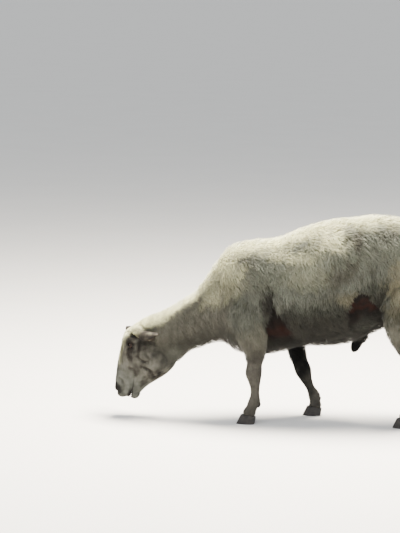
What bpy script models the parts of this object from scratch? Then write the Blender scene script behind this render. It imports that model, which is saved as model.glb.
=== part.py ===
"""A life-size museum model of a heavy meat sheep with a short fleece, grazing with its head down.

Metres, +Z up. The head is towards -X and the animal's left side towards -Y, and the hooves stand on Z = 0.
The body is modelled whole, from lofts through hand-chosen stations, and parted into limbs with thin cuts.
"""

import math
import random

import bmesh
import bpy
import numpy as np
from mathutils import Matrix, Vector

# Driving dimensions
GAP = 0.0003  # between nodes that touch
COAT_DEPTH = 0.026  # from the skin to the tips of the fleece on the trunk
CORE_DEPTH = 0.012  # from the skin to the closed core that the clumps grow from
ORIGIN_X = 0.022  # stations are measured from the girth, and the origin is under the middle of the length
TRUNK_ROWS = 22
TUBE_SIDES = 18
LEG_ROWS = 22
LIMB_SIDES = 12
LEFT, RIGHT = -1, 1

# Trunk and neck, outlines over the coat: top (x, z), bottom (x, z), half width, height of the widest level
# as a share down from the top, squareness, share of the coat's depth.
TRUNK = {
    "in_the_head": ((-0.586, 0.368), (-0.452, 0.196), 0.052, 0.40, 2.1, 0.3),
    "throat": ((-0.548, 0.400), (-0.400, 0.224), 0.058, 0.40, 2.1, 0.4),
    "upper_neck": ((-0.472, 0.436), (-0.356, 0.262), 0.062, 0.42, 2.1, 0.7),
    "mid_neck": ((-0.392, 0.482), (-0.304, 0.282), 0.070, 0.45, 2.1, 0.8),
    "lower_neck": ((-0.312, 0.540), (-0.244, 0.302), 0.086, 0.48, 2.1, 0.9),
    "neck_root": ((-0.248, 0.628), (-0.200, 0.304), 0.112, 0.55, 2.1, 1.0),
    "breast": ((-0.188, 0.704), (-0.152, 0.270), 0.140, 0.58, 2.1, 1.0),
    "withers": ((-0.100, 0.730), (-0.080, 0.258), 0.156, 0.56, 2.2, 1.0),
    "girth": ((-0.012, 0.738), (0.000, 0.270), 0.170, 0.54, 2.2, 1.0),
    "ribs": ((0.088, 0.776), (0.108, 0.300), 0.188, 0.54, 2.3, 1.0),
    "barrel": ((0.208, 0.814), (0.216, 0.304), 0.196, 0.54, 2.3, 1.0),
    "loin": ((0.320, 0.826), (0.320, 0.326), 0.184, 0.50, 2.3, 1.0),
    "hips": ((0.408, 0.836), (0.424, 0.376), 0.172, 0.45, 2.3, 1.0),
    "rump": ((0.508, 0.816), (0.508, 0.384), 0.158, 0.45, 2.2, 1.0),
    "buttock": ((0.580, 0.778), (0.570, 0.420), 0.128, 0.45, 2.1, 1.0),
    "pins": ((0.628, 0.724), (0.614, 0.480), 0.088, 0.45, 2.0, 1.0),
}
RUMP_DOME = 0.018  # how far the rump rounds out behind the last station

# Head: front of the face (x, z), jaw side (x, z), half width, widest share from the front, squareness.
HEAD = {
    "in_the_neck": ((-0.500, 0.424), (-0.366, 0.252), 0.054, 0.40, 2.1, 0.3),
    "nape": ((-0.548, 0.398), (-0.402, 0.226), 0.056, 0.40, 2.1, 0.3),
    "poll": ((-0.596, 0.366), (-0.418, 0.202), 0.058, 0.34, 2.2, 0.2),
    "forehead": ((-0.618, 0.344), (-0.430, 0.190), 0.059, 0.30, 2.3, 0.0),
    "brow": ((-0.626, 0.314), (-0.448, 0.176), 0.060, 0.28, 2.3, 0.0),
    "eye": ((-0.633, 0.282), (-0.474, 0.158), 0.056, 0.30, 2.2, 0.0),
    "cheek": ((-0.641, 0.248), (-0.500, 0.142), 0.049, 0.33, 2.1, 0.0),
    "nose_bridge": ((-0.648, 0.210), (-0.524, 0.126), 0.041, 0.38, 2.2, 0.0),
    "mouth_corner": ((-0.653, 0.172), (-0.544, 0.108), 0.035, 0.42, 2.2, 0.0),
    "nostril": ((-0.656, 0.134), (-0.556, 0.094), 0.033, 0.45, 2.3, 0.0),
    "lip": ((-0.648, 0.100), (-0.564, 0.080), 0.030, 0.48, 2.3, 0.0),
}
MUZZLE_DOME = 0.010

# Legs, along their own middle line: x, z, distance from the middle plane, half fore and aft, half sideways,
# share of the coat's depth.
FORE_LEFT = {
    "withers_end": (-0.090, 0.625, 0.050, 0.050, 0.030, 1.0),
    "shoulder": (-0.112, 0.490, 0.110, 0.078, 0.052, 1.0),
    "elbow": (-0.094, 0.370, 0.124, 0.072, 0.048, 0.9),
    "forearm": (-0.078, 0.290, 0.118, 0.046, 0.038, 0.5),
    "above_knee": (-0.082, 0.236, 0.108, 0.031, 0.027, 0.0),
    "knee": (-0.085, 0.202, 0.105, 0.033, 0.029, 0.0),
    "below_knee": (-0.081, 0.168, 0.103, 0.024, 0.023, 0.0),
    "cannon": (-0.079, 0.128, 0.102, 0.0175, 0.0165, 0.0),
    "fetlock": (-0.083, 0.086, 0.101, 0.0250, 0.0225, 0.0),
    "pastern": (-0.094, 0.062, 0.100, 0.0215, 0.0215, 0.0),
    "coronet": (-0.103, 0.040, 0.100, 0.0280, 0.0255, 0.0),
    "in_the_hoof": (-0.107, 0.026, 0.100, 0.0280, 0.0255, 0.0),
}
FORE_RIGHT = {
    "withers_end": (-0.070, 0.625, 0.050, 0.050, 0.030, 1.0),
    "shoulder": (-0.048, 0.490, 0.110, 0.078, 0.052, 1.0),
    "elbow": (0.026, 0.356, 0.124, 0.070, 0.048, 0.9),
    "forearm": (0.062, 0.272, 0.118, 0.046, 0.038, 0.5),
    "above_knee": (0.085, 0.212, 0.108, 0.032, 0.027, 0.0),
    "knee": (0.097, 0.180, 0.105, 0.033, 0.029, 0.0),
    "below_knee": (0.109, 0.148, 0.103, 0.024, 0.023, 0.0),
    "cannon": (0.126, 0.112, 0.102, 0.0175, 0.0165, 0.0),
    "fetlock": (0.143, 0.076, 0.101, 0.0250, 0.0225, 0.0),
    "pastern": (0.146, 0.056, 0.100, 0.0215, 0.0215, 0.0),
    "coronet": (0.146, 0.038, 0.100, 0.0280, 0.0255, 0.0),
    "in_the_hoof": (0.144, 0.026, 0.100, 0.0280, 0.0255, 0.0),
}
HIND_LEFT = {
    "hip": (0.480, 0.700, 0.040, 0.070, 0.040, 1.0),
    "thigh": (0.505, 0.565, 0.104, 0.104, 0.066, 1.0),
    "stifle": (0.502, 0.450, 0.132, 0.092, 0.060, 0.9),
    "gaskin_top": (0.502, 0.380, 0.128, 0.064, 0.046, 0.6),
    "gaskin": (0.520, 0.318, 0.122, 0.042, 0.034, 0.2),
    "above_hock": (0.541, 0.274, 0.116, 0.033, 0.0255, 0.0),
    "hock": (0.556, 0.238, 0.113, 0.036, 0.028, 0.0),
    "below_hock": (0.552, 0.198, 0.110, 0.0265, 0.0225, 0.0),
    "cannon": (0.544, 0.146, 0.108, 0.0185, 0.0170, 0.0),
    "fetlock": (0.536, 0.092, 0.106, 0.0250, 0.0230, 0.0),
    "pastern": (0.526, 0.064, 0.105, 0.0215, 0.0215, 0.0),
    "coronet": (0.517, 0.040, 0.105, 0.0280, 0.0255, 0.0),
    "in_the_hoof": (0.513, 0.026, 0.105, 0.0280, 0.0255, 0.0),
}
HIND_RIGHT = {
    "hip": (0.485, 0.700, 0.040, 0.070, 0.040, 1.0),
    "thigh": (0.510, 0.565, 0.104, 0.104, 0.066, 1.0),
    "stifle": (0.516, 0.450, 0.132, 0.092, 0.060, 0.9),
    "gaskin_top": (0.530, 0.384, 0.128, 0.064, 0.046, 0.6),
    "gaskin": (0.562, 0.324, 0.122, 0.042, 0.034, 0.2),
    "above_hock": (0.592, 0.280, 0.116, 0.033, 0.0255, 0.0),
    "hock": (0.610, 0.242, 0.113, 0.036, 0.028, 0.0),
    "below_hock": (0.611, 0.200, 0.110, 0.0265, 0.0225, 0.0),
    "cannon": (0.608, 0.148, 0.108, 0.0185, 0.0170, 0.0),
    "fetlock": (0.604, 0.092, 0.106, 0.0250, 0.0230, 0.0),
    "pastern": (0.595, 0.064, 0.105, 0.0215, 0.0215, 0.0),
    "coronet": (0.586, 0.040, 0.105, 0.0280, 0.0255, 0.0),
    "in_the_hoof": (0.582, 0.026, 0.105, 0.0280, 0.0255, 0.0),
}
LEGS = {
    "fore_leg_left": (FORE_LEFT, LEFT),
    "fore_leg_right": (FORE_RIGHT, RIGHT),
    "hind_leg_left": (HIND_LEFT, LEFT),
    "hind_leg_right": (HIND_RIGHT, RIGHT),
}

# Where each upper leg is parted from the trunk: face (x, z, y), way down the leg, width and fore-aft size
UPPER_CUTS = {
    "fore_leg_left": ((-0.100, 0.376, 0.165), (0.08, -1.0), 0.19, 0.160),
    "fore_leg_right": ((0.014, 0.368, 0.165), (0.38, -1.0), 0.19, 0.160),
    "hind_leg_left": ((0.512, 0.468, 0.150), (0.34, -1.0), 0.25, 0.250),
    "hind_leg_right": ((0.520, 0.468, 0.150), (0.42, -1.0), 0.25, 0.250),
}

# Docked tail, along its middle line: x, z, half fore and aft, half sideways.
TAIL = {
    "in_the_rump": (0.600, 0.716, 0.026, 0.030),
    "root": (0.634, 0.712, 0.026, 0.030),
    "bend": (0.660, 0.690, 0.024, 0.028),
    "middle": (0.674, 0.648, 0.021, 0.025),
    "lower": (0.677, 0.606, 0.019, 0.022),
    "tip": (0.674, 0.568, 0.014, 0.016),
}
TAIL_DOME = 0.010
TAIL_CUT = 0.651  # the x at which the tail is parted from the rump

# Sheath under the belly, in front of the hind legs
SHEATH_PLACE = (0.318, 0.0, 0.318)
SHEATH_RADII = (0.024, 0.018, 0.046)
SHEATH_LEAN = 24  # degrees that its opening points forwards

# Hollows that the coat overhangs: behind the elbow and in front of the thigh
HOLLOWS = {
    "flank": ((0.352, 0.206, 0.452), (0.070, 0.064, 0.098)),
    "armpit": ((0.012, 0.192, 0.376), (0.046, 0.058, 0.118)),
}

# Eyes
EYE_PLACE = (-0.588, 0.298)  # x, z
EYE_RADIUS = 0.0145
EYE_DEPTH = 0.0120  # the eyeball's middle lies this far under the flesh
LID_THICKNESS = 0.0032
EYE_OPENING = (0.0132, 0.0070)  # half length and half height between the lids
EYE_SLANT = 58  # degrees of the opening's long axis below the horizontal, towards the nose

# Ears: root, way to the tip, way that the furry back faces. The left is laid back, the right one held out
EARS = {
    LEFT: ((-0.564, 0.046, 0.354), (0.102, 0.070, -0.006), (0.10, 0.62, 0.78)),
    RIGHT: ((-0.566, 0.046, 0.352), (-0.066, 0.100, -0.017), (-0.25, 0.0, 1.0)),
}
EAR_SHARES = (0.0, 0.15, 0.32, 0.50, 0.68, 0.84, 0.94, 1.0)  # of the ear's length
EAR_HALVES = (0.010, 0.0150, 0.0225, 0.0265, 0.0240, 0.0165, 0.0090, 0.0025)  # half widths there
EAR_THICKNESS = 0.0034
EAR_CUT = 0.26  # share of the ear's length that stays on the head as its base

# Nostrils and mouth, as (x, z) on the head's middle plane where there are two values
NOSTRIL_PLACE = (-0.6535, 0.0165, 0.124)
NOSTRIL_SLANT = -30  # degrees that the slits lean apart at the top
MOUTH_FRONT = (-0.596, 0.076)
MOUTH_CORNER = (-0.574, 0.172)
MOUTH_GAPE = 0.0064  # between the lips at the front

# Hooves, as offsets of the middle and half sizes at three levels above the ground
HOOF_TOP = 0.036
HOOF_LEVELS = (
    (HOOF_TOP, 0.000, 0.0275, 0.0250),
    (0.016, -0.008, 0.0330, 0.0270),
    (0.0, -0.014, 0.0370, 0.0280),
)
CLEFT_WIDTH = 0.0036
CLEFT_TOP = 0.026

# Fleece clumps, at the size they have on the widest part of the trunk
CLUMP_SPACING = (0.104, 0.088)  # along the lie and across it
CLUMP_HALF = (0.062, 0.053, 0.025)  # along the lie, across it, and through it
CLUMP_SINK = 0.0105  # the clump's middle lies this far under the core
CLUMP_TILT = 2  # degrees that the free end stands out
CLUMP_JITTER = 0.18  # share by which places and sizes vary
LIE = (0.35, 0.0, -1.0)  # the fleece lies down the sides and a little backwards
FULL_SIZE_GIRTH = (0.95, 0.46)  # trunk sections, and leg ones, under this girth carry smaller clumps
SMALLEST = 0.76


def xz(point, side_y=0.0):
    """A point of the middle plane, or one beside it, in the model's own frame."""
    return np.array([point[0] - ORIGIN_X, side_y, point[1]])


def smooth_rows(rows, count):
    """Station rows carried through a smooth cubic and read at even steps of the middle line."""
    rows = np.asarray(rows, float)
    steps = np.linalg.norm(np.diff(rows[:, :3], axis=0), axis=1)
    at = np.concatenate([[0.0], np.cumsum(steps)])
    slope = np.gradient(rows, at, axis=0)
    t = np.linspace(0.0, at[-1], count)
    i = np.clip(np.searchsorted(at, t, side="right") - 1, 0, len(at) - 2)
    h = (at[i + 1] - at[i])[:, None]
    f = (t - at[i])[:, None] / h
    return (
        (1 + 2 * f) * (1 - f) ** 2 * rows[i]
        + f * (1 - f) ** 2 * h * slope[i]
        + f * f * (3 - 2 * f) * rows[i + 1]
        + f * f * (f - 1) * h * slope[i + 1]
    )


def rows_between_edges(stations, shrink):
    """Rows (middle, up, reaches up and down, half width, squareness) from stations given by their edges."""
    rows = []
    for top, bottom, half, widest, square, coat in stations.values():
        a, b = xz(top), xz(bottom)
        up = (a - b) / np.linalg.norm(a - b)
        length = np.linalg.norm(a - b)
        middle = a - up * widest * length
        less = shrink * coat
        reach = (widest * length - less, (1 - widest) * length - less)
        rows.append([*middle, up[0], up[2], *reach, half - less, square])
    return rows


def rows_along_line(stations, side, shrink):
    """The same rows from stations given by a middle line, with each section square to that line."""
    values = list(stations.values())
    middles = np.array([xz((v[0], v[1]), side * v[2]) for v in values])
    along = np.gradient(middles, axis=0)
    rows = []
    for middle, way, value in zip(middles, along, values):
        forward = np.array([-abs(way[2]), 0.0, way[0] * np.sign(way[2])])
        forward /= np.linalg.norm(forward)
        less = shrink * value[5]
        fore, half = value[3] - less, value[4] - less
        rows.append([*middle, forward[0], forward[2], fore, fore, half, 2.1])
    return rows


def rings_of(rows, sides, dome=0.0):
    """Section rings as an array (section, corner, xyz), rounded off behind the last where dome is set."""
    rows = np.array(rows)
    if dome:
        way = rows[-1, :3] - rows[-2, :3]
        way /= np.linalg.norm(way)
        turn = np.radians([35, 62, 82])[:, None]
        more = np.repeat(rows[-1:], 3, axis=0)
        more[:, :3] += way * dome * np.sin(turn)
        more[:, 5:8] *= np.cos(turn)
        rows = np.vstack([rows, more])
    turn = np.arange(sides) * 2 * math.pi / sides
    c, s = np.cos(turn)[None, :], np.sin(turn)[None, :]
    middle, up, high, low, half, square = (
        rows[:, 0:3],
        np.stack([rows[:, 3], np.zeros(len(rows)), rows[:, 4]], axis=1),
        rows[:, 5:6],
        rows[:, 6:7],
        rows[:, 7:8],
        rows[:, 8:9],
    )
    up = up / np.linalg.norm(up, axis=1, keepdims=True)
    rise = np.where(c >= 0, high, low) * np.sign(c) * np.abs(c) ** (2 / square)
    out = half * np.sign(s) * np.abs(s) ** (2 / square)
    return (
        middle[:, None, :]
        + up[:, None, :] * rise[:, :, None]
        + np.array([0.0, 1.0, 0.0]) * out[:, :, None]
    )


def loft(name, rings):
    """A closed mesh object through section rings, with its two ends fanned to their middles."""
    count, sides = rings.shape[:2]
    points = [tuple(p) for ring in rings for p in ring]
    faces = []
    for i in range(count - 1):
        for j in range(sides):
            k = (j + 1) % sides
            faces.append((i * sides + j, i * sides + k, (i + 1) * sides + k, (i + 1) * sides + j))
    for ring, first in ((0, 0), (count - 1, (count - 1) * sides)):
        pole = len(points)
        points.append(tuple(rings[ring].mean(axis=0)))
        faces += [(first + j, first + (j + 1) % sides, pole) for j in range(sides)]
    return mesh_object(name, points, faces)


def mesh_object(name, points, faces):
    """A mesh object with its faces turned outwards."""
    mesh = bpy.data.meshes.new(name)
    mesh.from_pydata(points, [], faces)
    work = bmesh.new()
    work.from_mesh(mesh)
    bmesh.ops.recalc_face_normals(work, faces=work.faces)
    work.to_mesh(mesh)
    work.free()
    obj = bpy.data.objects.new(name, mesh)
    bpy.context.scene.collection.objects.link(obj)
    return obj


def ball(name, place, radii, turn=None, segments=10, rings=6):
    """An ellipsoid of few faces. turn is a rotation matrix applied before it is placed."""
    work = bmesh.new()
    bmesh.ops.create_uvsphere(work, u_segments=segments, v_segments=rings, radius=1.0)
    mesh = bpy.data.meshes.new(name)
    work.to_mesh(mesh)
    work.free()
    obj = bpy.data.objects.new(name, mesh)
    bpy.context.scene.collection.objects.link(obj)
    spin = turn.to_4x4() if turn else Matrix.Identity(4)
    mesh.transform(Matrix.Translation(Vector(place)) @ spin @ Matrix.Diagonal((*radii, 1.0)))
    return obj


def block(name, face, way, depth, width, height):
    """A box with one face's middle at face, reaching depth along way, which lies in the XZ plane."""
    work = bmesh.new()
    bmesh.ops.create_cube(work, size=1.0)
    mesh = bpy.data.meshes.new(name)
    work.to_mesh(mesh)
    work.free()
    obj = bpy.data.objects.new(name, mesh)
    bpy.context.scene.collection.objects.link(obj)
    x = Vector((way[0], 0.0, way[1])).normalized()
    y = Vector((0.0, 1.0, 0.0))
    turn = Matrix((x, y, x.cross(y))).transposed().to_4x4()
    middle = Vector(face) + x * depth / 2
    mesh.transform(Matrix.Translation(middle) @ turn @ Matrix.Diagonal((depth, width, height, 1.0)))
    return obj


def copy_of(obj, name):
    """A new object with its own copy of the mesh."""
    twin = bpy.data.objects.new(name, obj.data.copy())
    bpy.context.scene.collection.objects.link(twin)
    return twin


def bake(obj):
    """Applies the object's modifiers."""
    graph = bpy.context.evaluated_depsgraph_get()
    graph.update()
    mesh = bpy.data.meshes.new_from_object(obj.evaluated_get(graph))
    obj.modifiers.clear()
    obj.data = mesh


def combine(target, operation, tools):
    """One Boolean of target with the tools, which are then removed. MANIFOLD, as EXACT is slow on a coat."""
    box = bpy.data.collections.new("tools")
    bpy.context.scene.collection.children.link(box)
    for tool in tools:
        box.objects.link(tool)
    modifier = target.modifiers.new(operation, "BOOLEAN")
    modifier.operation = operation
    modifier.solver = "MANIFOLD"
    modifier.operand_type = "COLLECTION"
    modifier.collection = box
    bake(target)
    for tool in tools:
        bpy.data.objects.remove(tool)
    bpy.data.collections.remove(box)
    return target


def keep_largest(obj):
    """Keeps the object's largest closed surface, by the volume that it holds."""
    work = bmesh.new()
    work.from_mesh(obj.data)
    bmesh.ops.triangulate(work, faces=work.faces)
    left, shells = set(work.faces), []
    while left:
        shell, edge = set(), [left.pop()]
        while edge:
            face = edge.pop()
            shell.add(face)
            near = {f for e in face.edges for f in e.link_faces} & left
            left -= near
            edge += near
        volume = sum(f.verts[0].co.dot(f.verts[1].co.cross(f.verts[2].co)) for f in shell)
        shells.append((abs(volume), shell))
    shells.sort(key=lambda entry: entry[0])
    loose = [face for _, shell in shells[:-1] for face in shell]
    bmesh.ops.delete(work, geom=loose, context="FACES")
    bmesh.ops.delete(work, geom=[v for v in work.verts if not v.link_faces], context="VERTS")
    work.to_mesh(obj.data)
    work.free()
    return obj


def trunk_core(shrink):
    """The trunk and neck as one loft, with the sheath."""
    rings = rings_of(smooth_rows(rows_between_edges(TRUNK, shrink), TRUNK_ROWS), TUBE_SIDES, RUMP_DOME)
    trunk = loft("trunk", rings)
    lean = Matrix.Rotation(math.radians(SHEATH_LEAN), 3, "Y")
    sheath = ball("sheath", xz((SHEATH_PLACE[0], SHEATH_PLACE[2])), SHEATH_RADII, lean)
    return combine(trunk, "UNION", [sheath])


def leg_core(name, shrink):
    """One leg as a loft from inside the trunk to inside the hoof, with dewclaws and the hock's point."""
    stations, side = LEGS[name]
    rows = smooth_rows(rows_along_line(stations, side, shrink), LEG_ROWS)
    leg = loft(name, rings_of(rows, LIMB_SIDES))
    extras = []
    fetlock = stations["fetlock"]
    for off in (-1, 1):
        place = xz((fetlock[0] + 0.019, fetlock[1] - 0.008), side * fetlock[2] + off * 0.011)
        extras.append(ball("dewclaw", place, (0.009, 0.006, 0.011), segments=6, rings=4))
    if "hock" in stations:
        hock = stations["hock"]
        place = xz((hock[0] + 0.021, hock[1] + 0.024), side * hock[2])
        lean = Matrix.Rotation(math.radians(-14), 3, "Y")
        extras.append(ball("point_of_hock", place, (0.018, 0.014, 0.034), lean, 8, 6))
    return combine(leg, "UNION", extras)


def body_core(shrink):
    """Trunk, neck and legs as one closed body, with the hollows behind the elbows and before the thighs."""
    body = trunk_core(shrink)
    hollows = [
        ball("hollow", xz((place[0], place[2]), side * place[1]), radii, segments=14, rings=8)
        for place, radii in HOLLOWS.values()
        for side in (LEFT, RIGHT)
    ]
    combine(body, "DIFFERENCE", hollows)
    combine(body, "UNION", [leg_core(name, shrink) for name in LEGS])
    return keep_largest(body)


def tail():
    """The docked tail, with its root inside the rump."""
    rows = []
    values = list(TAIL.values())
    middles = np.array([xz((v[0], v[1])) for v in values])
    for middle, way, value in zip(middles, np.gradient(middles, axis=0), values):
        up = np.array([-way[2], 0.0, way[0]])
        up /= np.linalg.norm(up)
        rows.append([*middle, up[0], up[2], value[2], value[2], value[3], 2.0])
    return loft("tail", rings_of(smooth_rows(rows, 9), 10, TAIL_DOME))


def head_core():
    """The head without its ears, as fused forms under one smooth surface."""
    rings = rings_of(smooth_rows(rows_between_edges(HEAD, 0.0), 30), 24, MUZZLE_DOME)
    head = loft("head", rings)
    bulges = []
    for side in (LEFT, RIGHT):
        for place, radii in (
            ((-0.590, 0.0400, 0.312), (0.034, 0.0190, 0.034)),  # brow
            ((-0.586, 0.0420, 0.290), (0.030, 0.0170, 0.034)),  # rim of the orbit
            ((-0.498, 0.0350, 0.228), (0.052, 0.0240, 0.056)),  # cheek
            ((-0.560, 0.0300, 0.190), (0.040, 0.0150, 0.045)),  # flesh beside the mouth
            ((-0.642, 0.0150, 0.122), (0.015, 0.0165, 0.020)),  # wing of the nostril
            ((-0.625, 0.0130, 0.095), (0.022, 0.0190, 0.017)),  # upper lip
            ((-0.577, 0.0100, 0.090), (0.020, 0.0200, 0.018)),  # lower lip
            ((-0.560, 0.0380, 0.352), (0.022, 0.0200, 0.020)),  # base of the ear
        ):
            bulges.append(ball("bulge", xz((place[0], place[2]), side * place[1]), radii, None, 14, 9))
    combine(head, "UNION", bulges)
    remesh = head.modifiers.new("fuse", "REMESH")
    remesh.mode = "VOXEL"
    remesh.voxel_size = 0.0045
    ease = head.modifiers.new("ease", "SMOOTH")
    ease.factor = 0.5
    ease.iterations = 5
    thin = head.modifiers.new("thin", "DECIMATE")
    thin.ratio = 0.045
    bake(head)
    return keep_largest(head)


def ear_lines(side):
    """An ear's root, the way to its tip and the way that its back faces."""
    (x, y, z), reach, back = EARS[side]
    return Vector(xz((x, z), side * y)), *(Vector((v[0], side * v[1], v[2])) for v in (reach, back))


def ear(side):
    """An ear as a cupped leaf. Across it the shell follows an arc that opens from the root to the tip."""
    root, reach, back = ear_lines(side)
    length = reach.length
    along = reach.normalized()
    back = (back - along * back.dot(along)).normalized()
    edge = along.cross(back)
    steps, across = 9, 6
    points = []
    for i in range(steps + 1):
        t = i / steps
        half = np.interp(t, EAR_SHARES, EAR_HALVES)
        arc = math.radians(125 - 75 * t ** 0.8)  # half of the arc that the shell covers
        radius = half / math.sin(min(arc, math.pi / 2))
        droop = -0.010 * math.sin(math.pi * t) + 0.004 * t
        for j in range(across + 1):
            turn = arc * (2 * j / across - 1)
            rise = droop + radius * (math.cos(turn) - 0.6)
            points.append(root + along * length * t + back * rise + edge * radius * math.sin(turn))
    faces = []
    for i in range(steps):
        for j in range(across):
            a, b = i * (across + 1) + j, i * (across + 1) + j + 1
            c, d = a + across + 1, b + across + 1
            faces += [(a, b, d), (a, d, c)]
    shell = mesh_object("ear", points, faces)
    thicken = shell.modifiers.new("thickness", "SOLIDIFY")
    thicken.thickness = EAR_THICKNESS
    thicken.offset = 0.0
    bake(shell)
    return shell


def swollen(obj, name):
    """A copy of a body, a little over the gap larger on every side."""
    twin = copy_of(obj, name)
    swell = twin.modifiers.new("swell", "DISPLACE")
    swell.mid_level = 0.0
    swell.strength = GAP * 1.2
    bake(twin)
    return twin


def ear_region(side, name, grow=0.0):
    """The space past the ear's base, which is the ear node's."""
    root, reach, _ = ear_lines(side)
    work = bmesh.new()
    bmesh.ops.create_cube(work, size=1.0)
    mesh = bpy.data.meshes.new(name)
    work.to_mesh(mesh)
    work.free()
    obj = bpy.data.objects.new(name, mesh)
    bpy.context.scene.collection.objects.link(obj)
    size = 0.12
    turn = reach.to_track_quat("X", "Z").to_matrix().to_4x4()
    middle = root + reach * EAR_CUT + reach.normalized() * (size / 2 - grow)
    mesh.transform(Matrix.Translation(middle) @ turn @ Matrix.Diagonal((size, size, size, 1.0)))
    return obj


def eye_middle(head, side):
    """The eyeball's middle, set a named depth under the head's surface."""
    start = Vector(xz(EYE_PLACE, side * 0.2))
    hit, place, _, _ = head.ray_cast(start, Vector((0.0, -side, 0.0)))
    if not hit:
        raise RuntimeError("the eye misses the head")
    return place - Vector((0.0, side * EYE_DEPTH, 0.0))


def eyeball(name, middle, radius):
    """A ball with its poles to the sides, so that its rings face out of the head."""
    turn = Matrix.Rotation(math.radians(90), 3, "X")
    return ball(name, middle, (radius,) * 3, turn, 12, 8)


def carve_face(head):
    """Lids with their opening, eye sockets, nostrils and the line of the mouth."""
    middles = {side: eye_middle(head, side) for side in (LEFT, RIGHT)}
    lids = [eyeball("lid", middles[side], EYE_RADIUS + LID_THICKNESS) for side in middles]
    combine(head, "UNION", lids)
    cutters = []
    for side, middle in middles.items():
        cutters.append(eyeball("socket", middle, EYE_RADIUS + GAP))
        slant = Matrix.Rotation(math.radians(EYE_SLANT), 3, "Y")
        outward = middle + Vector((0.0, side * 0.014, 0.0))
        cutters.append(ball("opening", outward, (EYE_OPENING[0], 0.012, EYE_OPENING[1]), slant, 12, 8))
        nostril = Vector(xz((NOSTRIL_PLACE[0], NOSTRIL_PLACE[2]), side * NOSTRIL_PLACE[1]))
        lean = Matrix.Rotation(math.radians(side * NOSTRIL_SLANT), 3, "X")
        cutters.append(ball("nostril", nostril, (0.0110, 0.0036, 0.0130), lean, 8, 6))
    cutters.append(mouth_slit())
    combine(head, "DIFFERENCE", cutters)
    return middles


def mouth_slit():
    """A wedge between the lips, from the mouth's corner to past the front."""
    corner, front = np.array(MOUTH_CORNER), np.array(MOUTH_FRONT)
    way = (front - corner) / np.linalg.norm(front - corner)
    square = np.array([way[1], -way[0]])
    end = front + way * 0.03
    middle = (corner + front) / 2 - square * 0.004  # the line bows towards the jaw
    outline = [
        corner,
        middle + square * MOUTH_GAPE * 0.22,
        end + square * MOUTH_GAPE * 0.62,
        end - square * MOUTH_GAPE * 0.62,
        middle - square * MOUTH_GAPE * 0.22,
    ]
    points = [xz(p, y) for y in (-0.06, 0.06) for p in outline]
    count = len(outline)
    faces = [tuple(range(count)), tuple(range(count, 2 * count))]
    faces += [(i, (i + 1) % count, (i + 1) % count + count, i + count) for i in range(count)]
    return mesh_object("mouth", points, faces)


def hoof(name, stations, side):
    """A cloven hoof with a flat sole, its toes forward."""
    x, _, y = stations["coronet"][:3]
    turn = np.arange(14) * 2 * math.pi / 14
    rings = []
    for level, shift, fore, half in HOOF_LEVELS:
        # The toe is narrower than the heel
        taper = 1 - 0.22 * (1 - np.cos(turn)) / 2 * (level < HOOF_TOP)
        ring = np.stack(
            [
                x - ORIGIN_X + shift + fore * np.cos(turn),
                side * y + half * taper * np.sin(turn),
                np.full(14, level),
            ],
            axis=1,
        )
        rings.append(ring)
    solid = loft(name, np.array(rings))
    face = xz((x, CLEFT_TOP), side * y)
    cleft = block("cleft", face, (0.0, -1.0), 0.05, CLEFT_WIDTH, 0.12)
    return combine(solid, "DIFFERENCE", [cleft])


def regions(grow=0.0):
    """The space of each node that is cut from the whole body, from the ends of the limbs inwards."""
    made = {}
    for name, (stations, side) in LEGS.items():
        joint = "above_knee" if "above_knee" in stations else "above_hock"
        below = "knee" if "knee" in stations else "hock"
        x, z, y = stations[joint][:3]
        way = np.array([stations[below][0] - x, stations[below][1] - z])
        way /= np.linalg.norm(way)
        face = xz((x, z), side * 0.13) - np.array([way[0], 0.0, way[1]]) * grow
        made[name + "_lower"] = block(name + "_lower", face, way, 0.4, 0.22 + 2 * grow, 0.26 + 2 * grow)
    for name, (face, way, width, height) in UPPER_CUTS.items():
        side = LEGS[name][1]
        way = np.array(way) / np.linalg.norm(way)
        middle = xz((face[0], face[1]), side * face[2]) - np.array([way[0], 0.0, way[1]]) * grow
        made[name + "_upper"] = block(
            name + "_upper", middle, way, 0.45, width + 2 * grow, height + 2 * grow
        )
    for name, station, reach in (("head", "throat", 0.36), ("neck", "neck_root", 0.50)):
        top, bottom = np.array(TRUNK[station][0]), np.array(TRUNK[station][1])
        down = (bottom - top) / np.linalg.norm(bottom - top)
        way = np.array([down[1], -down[0]])
        face = xz((top + bottom) / 2 - way * grow)
        made[name] = block(name, face, way, reach, 0.5, 0.62)
    face = xz((TAIL_CUT - grow, TAIL["middle"][1]))
    made["tail"] = block("tail", face, (1.0, 0.0), 0.1, 0.12 + 2 * grow, 0.24 + 2 * grow)
    return made


def clump_spots(rings, down_the_side, draw):
    """Staggered places over a loft, each with the clump's size there. Small sections carry small clumps."""
    middles = rings.mean(axis=1)
    steps = np.concatenate([[0.0], np.cumsum(np.linalg.norm(np.diff(middles, axis=0), axis=1))])
    gaps = CLUMP_SPACING[::-1] if down_the_side else CLUMP_SPACING
    at, row = 0.012, 0
    while at < steps[-1]:
        place = np.interp(at, steps, np.arange(len(steps)))
        low = min(int(place), len(rings) - 2)
        ring = rings[low] * (low + 1 - place) + rings[low + 1] * (place - low)
        ring = np.vstack([ring, ring[:1]])
        around = np.concatenate([[0.0], np.cumsum(np.linalg.norm(np.diff(ring, axis=0), axis=1))])
        size = min(1.0, max(SMALLEST, around[-1] / FULL_SIZE_GIRTH[0 if down_the_side else 1]))
        count = max(4, round(around[-1] / (gaps[1] * size)))
        for i in range(count):
            turn = (i + 0.5 * (row % 2) + draw.uniform(-1, 1) * CLUMP_JITTER) / count % 1.0 * around[-1]
            yield Vector([np.interp(turn, around, ring[:, axis]) for axis in range(3)]), size
        at += gaps[0] * size
        row += 1


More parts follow.
